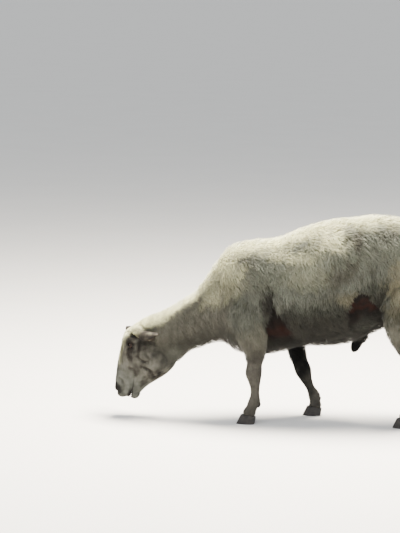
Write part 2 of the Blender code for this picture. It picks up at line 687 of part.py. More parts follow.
def in_a_hollow(place):
    """Whether a place lies in one of the hollows where the skin is bare."""
    for middle, radii in HOLLOWS.values():
        off = [
            (place.x - middle[0] + ORIGIN_X) / radii[0],
            (abs(place.y) - middle[1]) / radii[1],
            (place.z - middle[2]) / radii[2],
        ]
        if sum(v * v for v in off) < 1.15:
            return True
    return False


def clump(place, out, size, draw):
    """A rounded clump: an ellipsoid laid down the lie of the fleece, with its root end sunk deeper."""
    down = Vector(LIE) - out * Vector(LIE).dot(out)
    down = down.normalized() if down.length > 0.05 else Vector((1.0, 0.0, 0.0))
    down = Matrix.Rotation(draw.uniform(-0.35, 0.35), 3, out) @ down
    lift = math.radians(CLUMP_TILT)
    along = down * math.cos(lift) + out * math.sin(lift)
    up = out * math.cos(lift) - down * math.sin(lift)
    half = [side * size * (1 + draw.uniform(-1, 1) * CLUMP_JITTER) for side in CLUMP_HALF[:2]]
    turn = Matrix((along, up.cross(along), up)).transposed()
    deep = CLUMP_HALF[2] * (0.6 + 0.4 * size)
    sink = CLUMP_SINK * (0.6 + 0.4 * size) + draw.uniform(0.0, 0.002)
    return ball("clump", place - out * sink, (*half, deep), turn, 7, 4)


def fleece_clumps(core):
    """Clumps over the trunk, the neck and the outer sides of the upper legs, set on the core's surface."""
    draw = random.Random(7)
    placed, made = [], []
    lofts = []
    for name, (stations, side) in LEGS.items():
        woolly = {key: value for key, value in stations.items() if value[5] >= 0.5}
        rows = smooth_rows(rows_along_line(woolly, side, COAT_DEPTH - CORE_DEPTH), 24)
        lofts.append((rings_of(rows, 32), False, side))
    rows = smooth_rows(rows_between_edges(TRUNK, COAT_DEPTH - CORE_DEPTH), 60)
    lofts.append((rings_of(rows, 64, RUMP_DOME), True, 0))
    for rings, down_the_side, side in lofts:
        for spot, size in clump_spots(rings, down_the_side, draw):
            found, place, out, _ = core.closest_point_on_mesh(spot)
            if not found or (place - spot).length > 0.006 or in_a_hollow(place):
                continue
            if side and out.y * side < 0.1:
                continue  # the inner sides of the legs are bare
            if any((place - other).length < 0.6 * size * CLUMP_SPACING[1] for other in placed):
                continue
            placed.append(place.copy())
            made.append(clump(place, out, size, draw))
    return made


def clear_scene():
    """Removes whatever the file holds."""
    for obj in list(bpy.data.objects):
        bpy.data.objects.remove(obj)


def material(name, colour, roughness):
    """A plain Principled material."""
    made = bpy.data.materials.new(name)
    made.use_nodes = True
    shader = made.node_tree.nodes["Principled BSDF"]
    shader.inputs["Base Color"].default_value = (*colour, 1.0)
    shader.inputs["Roughness"].default_value = roughness
    return made


def main():
    """Builds every node."""
    clear_scene()
    model = bpy.data.collections.new("grazing_sheep")
    bpy.context.scene.collection.children.link(model)
    fleece = material("fleece", (0.58, 0.54, 0.45), 0.95)
    short_hair = material("short_hair", (0.36, 0.31, 0.26), 0.85)
    horn = material("hoof_horn", (0.10, 0.085, 0.07), 0.55)
    wet_eye = material("eye", (0.03, 0.02, 0.012), 0.08)

    body = body_core(COAT_DEPTH - CORE_DEPTH)
    combine(body, "UNION", fleece_clumps(body) + [tail()])
    head = head_core()
    beside_the_head = swollen(head, "beside_the_head")
    bases = [combine(ear(side), "DIFFERENCE", [ear_region(side, "past", GAP)]) for side in (LEFT, RIGHT)]
    combine(head, "UNION", bases)
    middles = carve_face(head)

    finishes = {}
    nodes = {}
    for side, word in ((LEFT, "left"), (RIGHT, "right")):
        nodes["eye_" + word] = eyeball("eye_" + word, middles[side], EYE_RADIUS)
        finishes["eye_" + word] = wet_eye
        nodes["ear_" + word] = combine(ear(side), "INTERSECT", [ear_region(side, "past")])
        combine(nodes["ear_" + word], "DIFFERENCE", [copy_of(beside_the_head, "past")])
        finishes["ear_" + word] = short_hair

    bpy.data.objects.remove(beside_the_head)

    exact, grown = regions(), regions(GAP)
    floor = block("floor", (0.0, 0.0, HOOF_TOP + GAP), (0.0, -1.0), 0.2, 1.0, 3.0)
    combine(body, "DIFFERENCE", [floor])
    nodes["head"] = combine(head, "INTERSECT", [copy_of(exact["head"], "keep")])
    finishes["head"] = short_hair
    done = ["head"]
    for name, region in exact.items():
        if name != "head":
            node = copy_of(body, name)
            combine(node, "INTERSECT", [copy_of(region, "keep")])
            combine(node, "DIFFERENCE", [copy_of(grown[other], "past") for other in done])
            nodes[name] = keep_largest(node)
            finishes[name] = short_hair if name.endswith("lower") else fleece
            done.append(name)
    nodes["torso"] = combine(body, "DIFFERENCE", [grown[name] for name in done])
    keep_largest(nodes["torso"])
    finishes["torso"] = fleece
    for region in exact.values():
        bpy.data.objects.remove(region)
    ears = [swollen(nodes["ear_" + word], "past") for word in ("left", "right")]
    combine(nodes["neck"], "DIFFERENCE", ears)
    for leg, (stations, side) in LEGS.items():
        name = leg.replace("_leg_", "_hoof_")
        nodes[name] = hoof(name, stations, side)
        finishes[name] = horn

    for name, node in nodes.items():
        node.name = name
        keep_largest(node)
        for box in list(node.users_collection):
            box.objects.unlink(node)
        model.objects.link(node)
        node.data.materials.clear()
        node.data.materials.append(finishes[name])
        node.data.shade_smooth()
        node.data.set_sharp_from_angle(angle=math.radians(38))


main()
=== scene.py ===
"""A grazing heavy meat sheep as a life-size museum model: skin, fleece, short hair, eyes and hooves.

Metres and Z up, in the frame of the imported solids: the head is towards -X and the animal's left side is
towards -Y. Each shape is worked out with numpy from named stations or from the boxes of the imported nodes.
"""

import math
import bpy
import numpy as np
from bpy.props import FloatProperty, FloatVectorProperty, IntProperty, PointerProperty
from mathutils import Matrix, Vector


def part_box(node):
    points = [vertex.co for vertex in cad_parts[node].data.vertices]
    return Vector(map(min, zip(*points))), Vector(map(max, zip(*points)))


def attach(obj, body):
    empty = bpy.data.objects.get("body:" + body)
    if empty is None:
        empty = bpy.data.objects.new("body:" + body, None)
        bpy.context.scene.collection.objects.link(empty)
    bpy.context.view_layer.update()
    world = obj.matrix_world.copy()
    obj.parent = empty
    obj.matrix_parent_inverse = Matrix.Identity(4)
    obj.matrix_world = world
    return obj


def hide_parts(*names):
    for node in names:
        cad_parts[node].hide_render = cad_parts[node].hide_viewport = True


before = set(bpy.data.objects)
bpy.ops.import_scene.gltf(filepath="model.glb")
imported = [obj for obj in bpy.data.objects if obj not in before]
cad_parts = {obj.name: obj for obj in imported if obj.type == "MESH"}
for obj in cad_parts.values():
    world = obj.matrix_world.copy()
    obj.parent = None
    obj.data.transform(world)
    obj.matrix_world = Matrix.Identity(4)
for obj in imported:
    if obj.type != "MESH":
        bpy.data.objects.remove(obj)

bl_info = {
    "name": "Grazing Sheep",
    "version": (1, 0, 0),
    "blender": (4, 5, 0),
    "location": "View3D > Sidebar > Sheep",
    "description": "Builds a life-size sheep with a short fleece over its packed frame",
    "category": "Object",
}

ORIGIN_X = 0.022  # stations are measured from the girth, and the origin is under the middle of the length
LEFT, RIGHT = -1, 1

# Trunk and neck, outlines over the coat: top (x, z), bottom (x, z), half width, height of the widest level
# as a share down from the top, squareness, share of the coat's depth.
TRUNK = {
    "in_the_head": ((-0.586, 0.368), (-0.452, 0.196), 0.052, 0.40, 2.1, 0.3),
    "throat": ((-0.548, 0.400), (-0.400, 0.224), 0.058, 0.40, 2.1, 0.4),
    "upper_neck": ((-0.472, 0.436), (-0.356, 0.262), 0.062, 0.42, 2.1, 0.7),
    "mid_neck": ((-0.392, 0.482), (-0.304, 0.282), 0.070, 0.45, 2.1, 0.8),
    "lower_neck": ((-0.312, 0.540), (-0.244, 0.302), 0.086, 0.48, 2.1, 0.9),
    "neck_root": ((-0.248, 0.628), (-0.200, 0.304), 0.112, 0.55, 2.1, 1.0),
    "breast": ((-0.188, 0.704), (-0.152, 0.270), 0.140, 0.58, 2.1, 1.0),
    "withers": ((-0.100, 0.730), (-0.080, 0.258), 0.156, 0.56, 2.2, 1.0),
    "girth": ((-0.012, 0.738), (0.000, 0.270), 0.170, 0.54, 2.2, 1.0),
    "ribs": ((0.088, 0.776), (0.108, 0.300), 0.188, 0.54, 2.3, 1.0),
    "barrel": ((0.208, 0.814), (0.216, 0.304), 0.196, 0.54, 2.3, 1.0),
    "loin": ((0.320, 0.826), (0.320, 0.326), 0.184, 0.50, 2.3, 1.0),
    "hips": ((0.408, 0.836), (0.424, 0.376), 0.172, 0.45, 2.3, 1.0),
    "rump": ((0.508, 0.816), (0.508, 0.384), 0.158, 0.45, 2.2, 1.0),
    "buttock": ((0.580, 0.778), (0.570, 0.420), 0.128, 0.45, 2.1, 1.0),
    "pins": ((0.628, 0.724), (0.614, 0.480), 0.088, 0.45, 2.0, 1.0),
}
RUMP_DOME = 0.018

# Head, in the same form, from inside the neck to the lips.
HEAD = {
    "in_the_neck": ((-0.500, 0.424), (-0.366, 0.252), 0.054, 0.40, 2.1, 1.0),
    "nape": ((-0.548, 0.398), (-0.402, 0.226), 0.056, 0.40, 2.1, 0.50),
    "poll": ((-0.596, 0.366), (-0.418, 0.202), 0.058, 0.34, 2.2, 0.25),
    "forehead": ((-0.618, 0.344), (-0.430, 0.190), 0.059, 0.30, 2.3, 0.08),
    "brow": ((-0.626, 0.314), (-0.448, 0.176), 0.060, 0.28, 2.3, 0.0),
    "eye": ((-0.633, 0.282), (-0.474, 0.158), 0.056, 0.30, 2.2, 0.0),
    "cheek": ((-0.641, 0.248), (-0.500, 0.142), 0.049, 0.33, 2.1, 0.0),
    "nose_bridge": ((-0.648, 0.210), (-0.524, 0.126), 0.041, 0.38, 2.2, 0.0),
    "mouth_corner": ((-0.653, 0.172), (-0.544, 0.108), 0.035, 0.42, 2.2, 0.0),
    "nostril": ((-0.656, 0.134), (-0.556, 0.094), 0.033, 0.45, 2.3, 0.0),
    "lip": ((-0.648, 0.100), (-0.564, 0.080), 0.030, 0.48, 2.3, 0.0),
}
MUZZLE_DOME = 0.010

# Legs, along their own middle line: x, z, distance from the middle plane, half fore and aft, half sideways,
# share of the coat's depth.
FORE_LEFT = {
    "withers_end": (-0.090, 0.625, 0.050, 0.050, 0.030, 1.0),
    "shoulder": (-0.112, 0.490, 0.110, 0.078, 0.052, 1.0),
    "elbow": (-0.094, 0.370, 0.124, 0.072, 0.048, 0.9),
    "forearm": (-0.078, 0.290, 0.118, 0.046, 0.038, 0.5),
    "above_knee": (-0.082, 0.236, 0.108, 0.031, 0.027, 0.0),
    "knee": (-0.085, 0.202, 0.105, 0.033, 0.029, 0.0),
    "below_knee": (-0.081, 0.168, 0.103, 0.024, 0.023, 0.0),
    "cannon": (-0.079, 0.128, 0.102, 0.0175, 0.0165, 0.0),
    "fetlock": (-0.083, 0.086, 0.101, 0.0250, 0.0225, 0.0),
    "pastern": (-0.094, 0.062, 0.100, 0.0215, 0.0215, 0.0),
    "coronet": (-0.103, 0.040, 0.100, 0.0270, 0.0245, 0.0),
    "in_the_hoof": (-0.105, 0.028, 0.100, 0.0200, 0.0180, 0.0),
}
FORE_RIGHT = {
    "withers_end": (-0.070, 0.625, 0.050, 0.050, 0.030, 1.0),
    "shoulder": (-0.048, 0.490, 0.110, 0.078, 0.052, 1.0),
    "elbow": (0.026, 0.356, 0.124, 0.070, 0.048, 0.9),
    "forearm": (0.062, 0.272, 0.118, 0.046, 0.038, 0.5),
    "above_knee": (0.085, 0.212, 0.108, 0.032, 0.027, 0.0),
    "knee": (0.097, 0.180, 0.105, 0.033, 0.029, 0.0),
    "below_knee": (0.109, 0.148, 0.103, 0.024, 0.023, 0.0),
    "cannon": (0.126, 0.112, 0.102, 0.0175, 0.0165, 0.0),
    "fetlock": (0.143, 0.076, 0.101, 0.0250, 0.0225, 0.0),
    "pastern": (0.146, 0.056, 0.100, 0.0215, 0.0215, 0.0),
    "coronet": (0.146, 0.038, 0.100, 0.0270, 0.0245, 0.0),
    "in_the_hoof": (0.145, 0.028, 0.100, 0.0200, 0.0180, 0.0),
}
HIND_LEFT = {
    "hip": (0.480, 0.700, 0.040, 0.070, 0.040, 1.0),
    "thigh": (0.505, 0.565, 0.104, 0.104, 0.066, 1.0),
    "stifle": (0.502, 0.450, 0.132, 0.092, 0.060, 0.9),
    "gaskin_top": (0.502, 0.380, 0.128, 0.064, 0.046, 0.6),
    "gaskin": (0.520, 0.318, 0.122, 0.042, 0.034, 0.2),
    "above_hock": (0.541, 0.274, 0.116, 0.033, 0.0255, 0.0),
    "hock": (0.556, 0.238, 0.113, 0.036, 0.028, 0.0),
    "below_hock": (0.552, 0.198, 0.110, 0.0265, 0.0225, 0.0),
    "cannon": (0.544, 0.146, 0.108, 0.0185, 0.0170, 0.0),
    "fetlock": (0.536, 0.092, 0.106, 0.0250, 0.0230, 0.0),
    "pastern": (0.526, 0.064, 0.105, 0.0215, 0.0215, 0.0),
    "coronet": (0.517, 0.040, 0.105, 0.0270, 0.0245, 0.0),
    "in_the_hoof": (0.515, 0.028, 0.105, 0.0200, 0.0180, 0.0),
}
HIND_RIGHT = {
    "hip": (0.485, 0.700, 0.040, 0.070, 0.040, 1.0),
    "thigh": (0.510, 0.565, 0.104, 0.104, 0.066, 1.0),
    "stifle": (0.516, 0.450, 0.132, 0.092, 0.060, 0.9),
    "gaskin_top": (0.530, 0.384, 0.128, 0.064, 0.046, 0.6),
    "gaskin": (0.562, 0.324, 0.122, 0.042, 0.034, 0.2),
    "above_hock": (0.592, 0.280, 0.116, 0.033, 0.0255, 0.0),
    "hock": (0.610, 0.242, 0.113, 0.036, 0.028, 0.0),
    "below_hock": (0.611, 0.200, 0.110, 0.0265, 0.0225, 0.0),
    "cannon": (0.608, 0.148, 0.108, 0.0185, 0.0170, 0.0),
    "fetlock": (0.604, 0.092, 0.106, 0.0250, 0.0230, 0.0),
    "pastern": (0.595, 0.064, 0.105, 0.0215, 0.0215, 0.0),
    "coronet": (0.586, 0.040, 0.105, 0.0270, 0.0245, 0.0),
    "in_the_hoof": (0.584, 0.028, 0.105, 0.0200, 0.0180, 0.0),
}
LEGS = {
    "fore_leg_left": (FORE_LEFT, LEFT),
    "fore_leg_right": (FORE_RIGHT, RIGHT),
    "hind_leg_left": (HIND_LEFT, LEFT),
    "hind_leg_right": (HIND_RIGHT, RIGHT),
}

# Docked tail, along its middle line: x, z, half fore and aft, half sideways, share of the coat's depth.
TAIL = {
    "in_the_rump": (0.600, 0.716, 0.026, 0.030, 0.5),
    "root": (0.634, 0.712, 0.026, 0.030, 0.5),
    "bend": (0.660, 0.690, 0.024, 0.028, 0.45),
    "middle": (0.674, 0.648, 0.021, 0.025, 0.4),
    "lower": (0.677, 0.606, 0.019, 0.022, 0.35),
    "tip": (0.674, 0.568, 0.014, 0.016, 0.3),
}
TAIL_DOME = 0.010

# Fused on the body: middle (x, y, z), radii, lean about Y in degrees.
SHEATH = ((0.318, 0.0, 0.318), (0.022, 0.016, 0.044), 24)
SHEATH_DARK = ((-0.012, 0.0, -0.026), 0.050)  # dark coat round its tip: way from its middle, radius
HOCK_POINT = ((0.021, 0.0, 0.024), (0.018, 0.014, 0.034), -14)  # middle from the hock station

# Hollows that the fleece overhangs, where the skin is bare: middle (x, y, z), radii, heights between which
# the bare skin is red and not dark, how red it is, height of the red's lower edge, and the share of its
# width that the bare place keeps at its narrow top. The dark is painted shade under the overhang, and the
# red is reddish skin darkened as painted shade.
HOLLOWS = {
    "flank": ((0.352, 0.206, 0.452), (0.070, 0.084, 0.098), (0.440, 0.500), 1.0, 0.474, 0.75),
    "armpit": ((0.012, 0.192, 0.376), (0.046, 0.080, 0.118), (0.330, 0.400), 0.55, 0.250, 0.20),
}
BARE_EDGE = (1.30, 0.84)  # where the bare skin begins and is full, in shares of the hollow's radii
BARE_LEAN = 0.16  # how far back it moves for each metre down
RED_FOOT, RED_FADE = 0.016, 0.03  # half widths of the red's lower edge and of its fade into the dark
RED_ON_THE_RIGHT = 0.30

# Forms of the head that are fused on each side: middle (x, y, z), radii.
HEAD_FORMS = {
    "brow": ((-0.590, 0.0400, 0.312), (0.034, 0.0190, 0.034)),
    "rim_of_the_orbit": ((-0.586, 0.0420, 0.290), (0.030, 0.0170, 0.034)),
    "cheek": ((-0.498, 0.0350, 0.228), (0.052, 0.0240, 0.056)),
    "beside_the_mouth": ((-0.560, 0.0300, 0.190), (0.040, 0.0150, 0.045)),
    "wing_of_the_nostril": ((-0.642, 0.0150, 0.122), (0.015, 0.0165, 0.020)),
    "upper_lip": ((-0.625, 0.0130, 0.095), (0.022, 0.0190, 0.017)),
    "lower_lip": ((-0.577, 0.0100, 0.090), (0.020, 0.0200, 0.018)),
    "base_of_the_ear": ((-0.560, 0.0380, 0.352), (0.022, 0.0200, 0.020)),
}
EYE_OPENING = (0.0130, 0.0066)  # half length and half height between the lids
EYE_SLANT = 58  # degrees of the opening's long axis below the horizontal, towards the nose
OPENING_OUT, OPENING_DEEP = 0.014, 0.012  # of the cutter that opens the lids: way out of the eye, half depth
SOCKET_PLAY = 0.0003  # between the eye's packed ball and the skin round it
LID_THICKNESS = 0.0034
LID_FOLD = (0.0020, 2.4)  # depth of the fold round the lids, and its place in shares of the eye's opening
LID_EDGE = (0.0010, 1.5)  # height of the edge of the lids, and its place
LID_SOFT = 0.40  # half width of both, in the same shares
EYEBALL_INSET = 0.0007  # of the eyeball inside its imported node
CORNEA_RISE, CORNEA_EDGE = 0.0011, 0.72  # height over the ball, and the radians from the gaze where it ends
GAZE = (-0.20, 0.06)  # how far forward and up each eye looks, for one to its side
PUPIL_SLANT = 0.55  # of the pupil, as a share of the slant of the opening
NOSTRIL = ((-0.6535, 0.0165, 0.124), (0.0110, 0.0038, 0.0130), -30)  # middle, radii, lean about X in degrees
MOUTH_FRONT = (-0.596, 0.076)  # x, z
MOUTH_CORNER = (-0.574, 0.172)
MOUTH_GAPE = 0.0072  # measure of the gap between the lips, which widens towards the front
MOUTH_BOW = 0.016  # how far the gap bows towards the jaw, of which it reaches a quarter
MOUTH_PAST = 1.35  # how far the cutter runs, with 1 at the front of the mouth
MOUTH_SIDES = (-0.06, -0.03, 0.03, 0.06)  # its sections, out past the head on both sides

# Ears, cupped leaves: root, way to the tip, way that the back faces. The left one is laid back, the right
# one held out.
EARS = {
    LEFT: ((-0.564, 0.046, 0.354), (0.102, 0.070, -0.006), (0.10, 0.62, 0.78)),
    RIGHT: ((-0.566, 0.046, 0.352), (-0.066, 0.100, -0.017), (-0.25, 0.0, 1.0)),
}
EAR_SHARES = (0.0, 0.15, 0.32, 0.50, 0.68, 0.84, 0.94, 1.0)  # of the ear's length
EAR_HALVES = (0.010, 0.0150, 0.0225, 0.0265, 0.0240, 0.0165, 0.0090, 0.0025)  # half widths there
EAR_THICKNESS = 0.0042
EAR_ARC, EAR_OPENS = 125, 75  # degrees of half of the arc across it: at the root, and less at the tip by
EAR_SAG, EAR_LIFT = 0.010, 0.004  # of its middle line under the way to the tip, and of the tip over it
EAR_SPAN = ((0.06, 0.22), (1.12, 1.04))  # shares of its length between which its hair begins, and ends
EAR_WALL = (0.0065, 0.0040)  # distances from its arc between which a point stops being ear
CUP_SIDE = (0.0008, -0.0008)  # and between which it comes to be inside the cup

# Rings of a claw from the ground up: height as a share of the hoof's, and how far the ring is drawn in.
CLAW_RINGS = ((0.0, 0.35), (0.0, 0.06), (0.02, 0.01), (0.08, 0), (0.2, 0), (0.35, 0), (0.5, 0), (0.65, 0))
CLAW_RINGS += ((0.8, 0), (0.9, 0), (0.96, 0.02), (1.0, 0.08), (1.03, 0.25), (1.03, 0.5))
CLEFT = 0.035  # half of the gap between the claws, as a share of the hoof's half width
DEWCLAW = ((0.020, 0.010, -0.010), (0.0060, 0.0048, 0.0090), 18)  # way from the fetlock, radii, lean

# Creases of the face on both sides: points (x, z) of each line, depth and half width.
CREASES = {
    "under_the_poll": (((-0.604, 0.347), (-0.588, 0.341), (-0.568, 0.336), (-0.552, 0.330)), 0.0036, 0.0055),
    "under_the_eye": (((-0.580, 0.306), (-0.588, 0.284), (-0.593, 0.262), (-0.594, 0.238)), 0.0058, 0.0094),
    "along_the_nose": (((-0.616, 0.310), (-0.622, 0.282), (-0.627, 0.258), (-0.630, 0.236)), 0.0036, 0.0072),
    "behind_the_eye": (((-0.550, 0.328), (-0.548, 0.300), (-0.552, 0.274), (-0.554, 0.252)), 0.0034, 0.0050),
    "face_ridge": (((-0.558, 0.252), (-0.544, 0.240), (-0.528, 0.232), (-0.514, 0.230)), 0.0044, 0.0055),
    "under_the_ear": (((-0.530, 0.312), (-0.516, 0.308), (-0.502, 0.306)), 0.0044, 0.0090),
    "behind_the_jaw": (((-0.526, 0.300), (-0.528, 0.280), (-0.522, 0.260), (-0.510, 0.244)), 0.0026, 0.0050),
    "cheek": (((-0.540, 0.208), (-0.520, 0.204), (-0.503, 0.194), (-0.493, 0.168)), 0.0044, 0.0060),
    "mouth_fold": (((-0.592, 0.206), (-0.578, 0.200), (-0.568, 0.190), (-0.566, 0.176)), 0.0034, 0.0055),
    "nostril_fold": (((-0.634, 0.160), (-0.622, 0.150), (-0.616, 0.134), (-0.618, 0.114)), 0.0024, 0.0050),
    "jaw": (((-0.484, 0.186), (-0.470, 0.182), (-0.456, 0.176)), 0.0034, 0.0080),
}
CREASE_RIDGE = (0.45, 2.1)  # the ridge beside each: share of the crease's depth, and half widths to it

# Markings, as soft patches that tint the coat and the skin alike: middle (x, side or None for both, z),
# radii along and up, colour's name, strength. Among them, throat_light, shoulder_light, breast_light,
# point_of_the_shoulder, loin_light, side_light and flank_low are painted light, and behind_the_shoulder,
# shoulder_crease, low_rib, hip_low_shade, thigh_low, armpit_shade and flank_shade are painted shade.
PATCHES = {
    "flank_cream": ((0.228, LEFT, 0.741), (0.064, 0.038), "cream", 0.95),
    "withers_cream": ((-0.204, None, 0.622), (0.074, 0.040), "cream", 0.66),
    "mid_side_cream": ((0.050, None, 0.672), (0.090, 0.018), "cream", 0.60),
    "throat_light": ((-0.425, None, 0.258), (0.036, 0.048), "side", 0.60),
    "shoulder_light": ((-0.115, None, 0.450), (0.066, 0.085), "side", 0.75),
    "breast_light": ((-0.262, None, 0.520), (0.046, 0.052), "cream", 0.34),
    "point_of_the_shoulder": ((-0.186, None, 0.560), (0.060, 0.056), "cream", 0.24),
    # Painted shade behind the shoulder.
    "behind_the_shoulder": ((-0.040, None, 0.600), (0.050, 0.060), "low", 0.16),
    "shoulder_crease": ((-0.030, None, 0.494), (0.028, 0.064), "shade", 0.90),
    "loin_light": ((0.150, LEFT, 0.700), (0.045, 0.040), "cream", 0.20),
    "hip_shade": ((0.392, LEFT, 0.700), (0.046, 0.050), "brown", 0.12),
    "hip_spot": ((0.314, LEFT, 0.744), (0.024, 0.038), "brown", 0.80),
    "loin_side": ((0.272, LEFT, 0.752), (0.028, 0.034), "side", 0.72),
    "hip_top": ((0.446, LEFT, 0.776), (0.044, 0.026), "brown", 0.38),
    "rear_rib_shade": ((0.290, LEFT, 0.638), (0.060, 0.044), "brown", 0.35),
    "side_light": ((0.125, None, 0.622), (0.085, 0.055), "cream", 0.12),
    # Painted shade under the ribs.
    "low_rib": ((0.228, None, 0.545), (0.070, 0.038), "shade", 0.32),
    "rib_shade": ((0.244, LEFT, 0.613), (0.036, 0.030), "brown", 0.62),
    "rib_spot": ((0.300, LEFT, 0.660), (0.026, 0.020), "brown", 0.50),
    "hip_low_shade": ((0.372, None, 0.590), (0.050, 0.040), "low", 0.08),
    "hip_shade_right": ((0.360, RIGHT, 0.700), (0.060, 0.040), "brown", 0.55),
    "rib_shade_right": ((0.160, RIGHT, 0.620), (0.040, 0.050), "brown", 0.50),
    "flank_cream_right": ((0.270, RIGHT, 0.750), (0.060, 0.030), "cream", 0.80),
    "thigh_straw": ((0.510, None, 0.560), (0.070, 0.110), "straw", 0.60),
    # Painted shade low on the thigh.
    "thigh_low": ((0.494, None, 0.425), (0.050, 0.110), "low", 0.60),
    "armpit_shade": ((0.034, None, 0.425), (0.042, 0.085), "shade", 0.62),
    "flank_shade": ((0.340, None, 0.500), (0.056, 0.036), "shade", 0.22),
    # Painted light low on the flank, under its hollow.
    "flank_low": ((0.322, None, 0.428), (0.046, 0.034), "side", 0.36),
    "flank_straw": ((0.296, None, 0.536), (0.060, 0.026), "straw", 0.30),
}

# Painted shade on both sides of the head: middle (x, z), radii, strength.
FACE_SHADE = {
    "round_the_eye": ((-0.588, 0.308), (0.030, 0.030), 0.75),
    "below_the_eye": ((-0.545, 0.238), (0.044, 0.036), 0.38),
    "front_of_the_face": ((-0.614, 0.258), (0.018, 0.036), 0.50),
    "edge_of_the_jaw": ((-0.500, 0.188), (0.024, 0.018), 0.62),
    "behind_the_eye": ((-0.546, 0.306), (0.020, 0.040), 0.60),
    "side_of_the_nose": ((-0.626, 0.272), (0.012, 0.050), 0.50),
    "under_the_jaw": ((-0.478, 0.164), (0.036, 0.022), 0.80),
    "below_the_cheek": ((-0.506, 0.156), (0.020, 0.022), 0.60),
    "chin": ((-0.534, 0.132), (0.018, 0.028), 0.70),
    "by_the_mouth": ((-0.568, 0.186), (0.014, 0.020), 0.45),
}

# More places in that form: grey hair round the root of each ear, and bare skin round the tip of the nose,
# whose dark is partly painted shade at the front of the nose.
EAR_ROOT = ((-0.526, 0.344), (0.038, 0.028), 0.85)
NOSE_TIP = ((-0.646, 0.108), (0.022, 0.024), 0.85)

# Bands round the trunk, by the share of the way from the back to under the belly: where the tone begins and
# where it is full, and how far a ripple moves its edge. Light on the back and dark low down, they are partly
# painted light and painted shade.
SIDE_BANDS = {"high": ((0.46, 0.34), 0.04), "low": ((0.48, 0.58), 0.03)}
BACK_BAND = ((0.23, 0.07), 0.035)
BELLY_BAND = ((0.56, 0.66), 0.02)
PATCH_EDGE = (1.45, 0.40)  # where a patch begins and is full, in shares of its radii

# By the share of the trunk's length from the head: the neck's own tone, where the pale back comes further
# down the sides, and where the belly's tone ends between the thighs.
NECK_TONE = (0.42, 0.28)
BY_THE_HEAD = (0.20, 0.04)
BETWEEN_THE_THIGHS = (0.84, 0.94)
# The grey there is the low tone, partly painted shade.
THIGH_GREYS = (0.60, 0.44)  # heights between which the upper legs turn grey

# The pale cap of the poll ends on the face along a line through (x, z) with this slope, and behind at x.
CAP_LINE = ((-0.604, 0.345), 0.25)
CAP_EDGE = (-0.003, 0.006)  # distances over the line between which it sets in
CAP_END = (-0.48, -0.53)

# Other tones of the head, each from where it begins to where it is full: by radians round it, by the share
# of its length from inside the neck, by metres, or by shares of the eye's opening.
TOP_OF_THE_HEAD, TOP_LENGTH = (1.05, 0.60), (0.72, 0.46)
NAPE_TONE, MUZZLE_TONE = (0.20, 0.05), (0.58, 0.74)
SIDES_OF_THE_HEAD = (0.014, 0.026)
LID_SHADE, LID_BARE = (2.1, 1.3), (1.5, 1.2)
NOSTRIL_BARE = (0.024, 0.012)
LIPS_BARE, LIPS_LENGTH = (0.0160, 0.005), (0.35, 0.8)
DEEP_CREASE = 0.0056  # a crease as deep as this is dark all through
OUT_OF_THE_POLL = (0.022, 0.040)  # distance from the middle plane at which the root of an ear darkens

# Tones of the legs in the same way, by the share of the leg's length, and round the knee or hock by metres.
LEG_TONE, SHIN_TONE = (0.34, 0.48), (0.42, 0.64)
# The dark of the right foreleg is painted shade.
DARK_LEG_BEGINS, DARK_LEG_ENDS = (0.40, 0.50), (1.02, 0.66)
JOINT_TONE = (0.050, 0.015)

# The colours that mark the coat
TONES = ("back", "high", "side", "low", "belly", "cream", "straw", "brown", "neck", "face", "muzzle")
TONES += ("shade", "leg", "shin", "knee", "dark_leg", "bare", "hollow", "ear", "cup", "nose")

# Tufts: the levels of each kind as (share of the length, share of the width) up to the tip, how far their
# shading follows the coat and not the blade, and how unevenly they are combed, in radians.
WOOL_LEVELS = ((0.0, 0.75), (0.48, 1.0))
HAIR_LEVELS = ((0.0, 0.8), (0.5, 1.0))
WOOL_SOFT, HAIR_SOFT = 0.65, 0.85
WOOL_LOOSE, HAIR_LOOSE = 0.20, 0.10
TRUNK_BACKWARD = (0.24, 0.6)  # how much the trunk's coat lies backwards low down, and how much more on top
TRUNK_OUTWARD = 0.6  # how much it lies outwards, for one downwards
LEG_BACKWARD = 0.12  # and how much a leg's coat lies backwards, for one along the leg
COMBED = ((0.22, 0.09, 31), (0.16, 0.03, 32))  # ripples that turn the lie: most radians, size, seed
BEND_RANGE = (-18, 60)  # curvature of the skin that a tuft can follow, in radians for each metre
STRANDS, STRAND_STEP = 97, 7.0  # how many places in the pattern of strands the tufts take, and how far apart
ROOT_DEPTH = 0.0015  # how far a tuft starts under the skin
RIDGE = 0.36  # height of a tuft's middle over its edges, as a share of its half width
HAIR_RISE = 0.0013  # of the tips over the skin
CORONET = 0.037  # height at which the coat ends over the hooves
HEAD_BEGINS = (-0.40, -0.46)  # places along the animal between which the neck's hair gives way to the head's
ROUND_THE_EYE = 0.008  # width of the ring round an eyeball where no coat grows between the lids
CUBE = 0.02  # roots are laid out in the order of cubes of this size
REACH = 2.0  # more than the animal's extent on any side
MOST_TRIANGLES = 190_000  # in a piece
READ_ROWS = 36  # sections of a tube where a point's place on it is read
OUTSIDE = 1e3  # square metres added for a pair of sections that a point doesn't lie between
BLEND = 14  # how sharply the markings and the lie of one tube give way to the next one's

# Each tube's rectangle on the unwrap: lower corner, size.
CHARTS = {
    "trunk": ((0.01, 0.20), (0.66, 0.78)),
    "head": ((0.01, 0.01), (0.20, 0.17)),
    "tail": ((0.24, 0.01), (0.08, 0.10)),
    "fore_leg_left": ((0.69, 0.01), (0.30, 0.22)),
    "fore_leg_right": ((0.69, 0.25), (0.30, 0.22)),
    "hind_leg_left": ((0.69, 0.49), (0.30, 0.23)),
    "hind_leg_right": ((0.69, 0.74), (0.30, 0.23)),
}
TUFT_PATCH = 0.003  # size of each tuft's patch on the unwrap

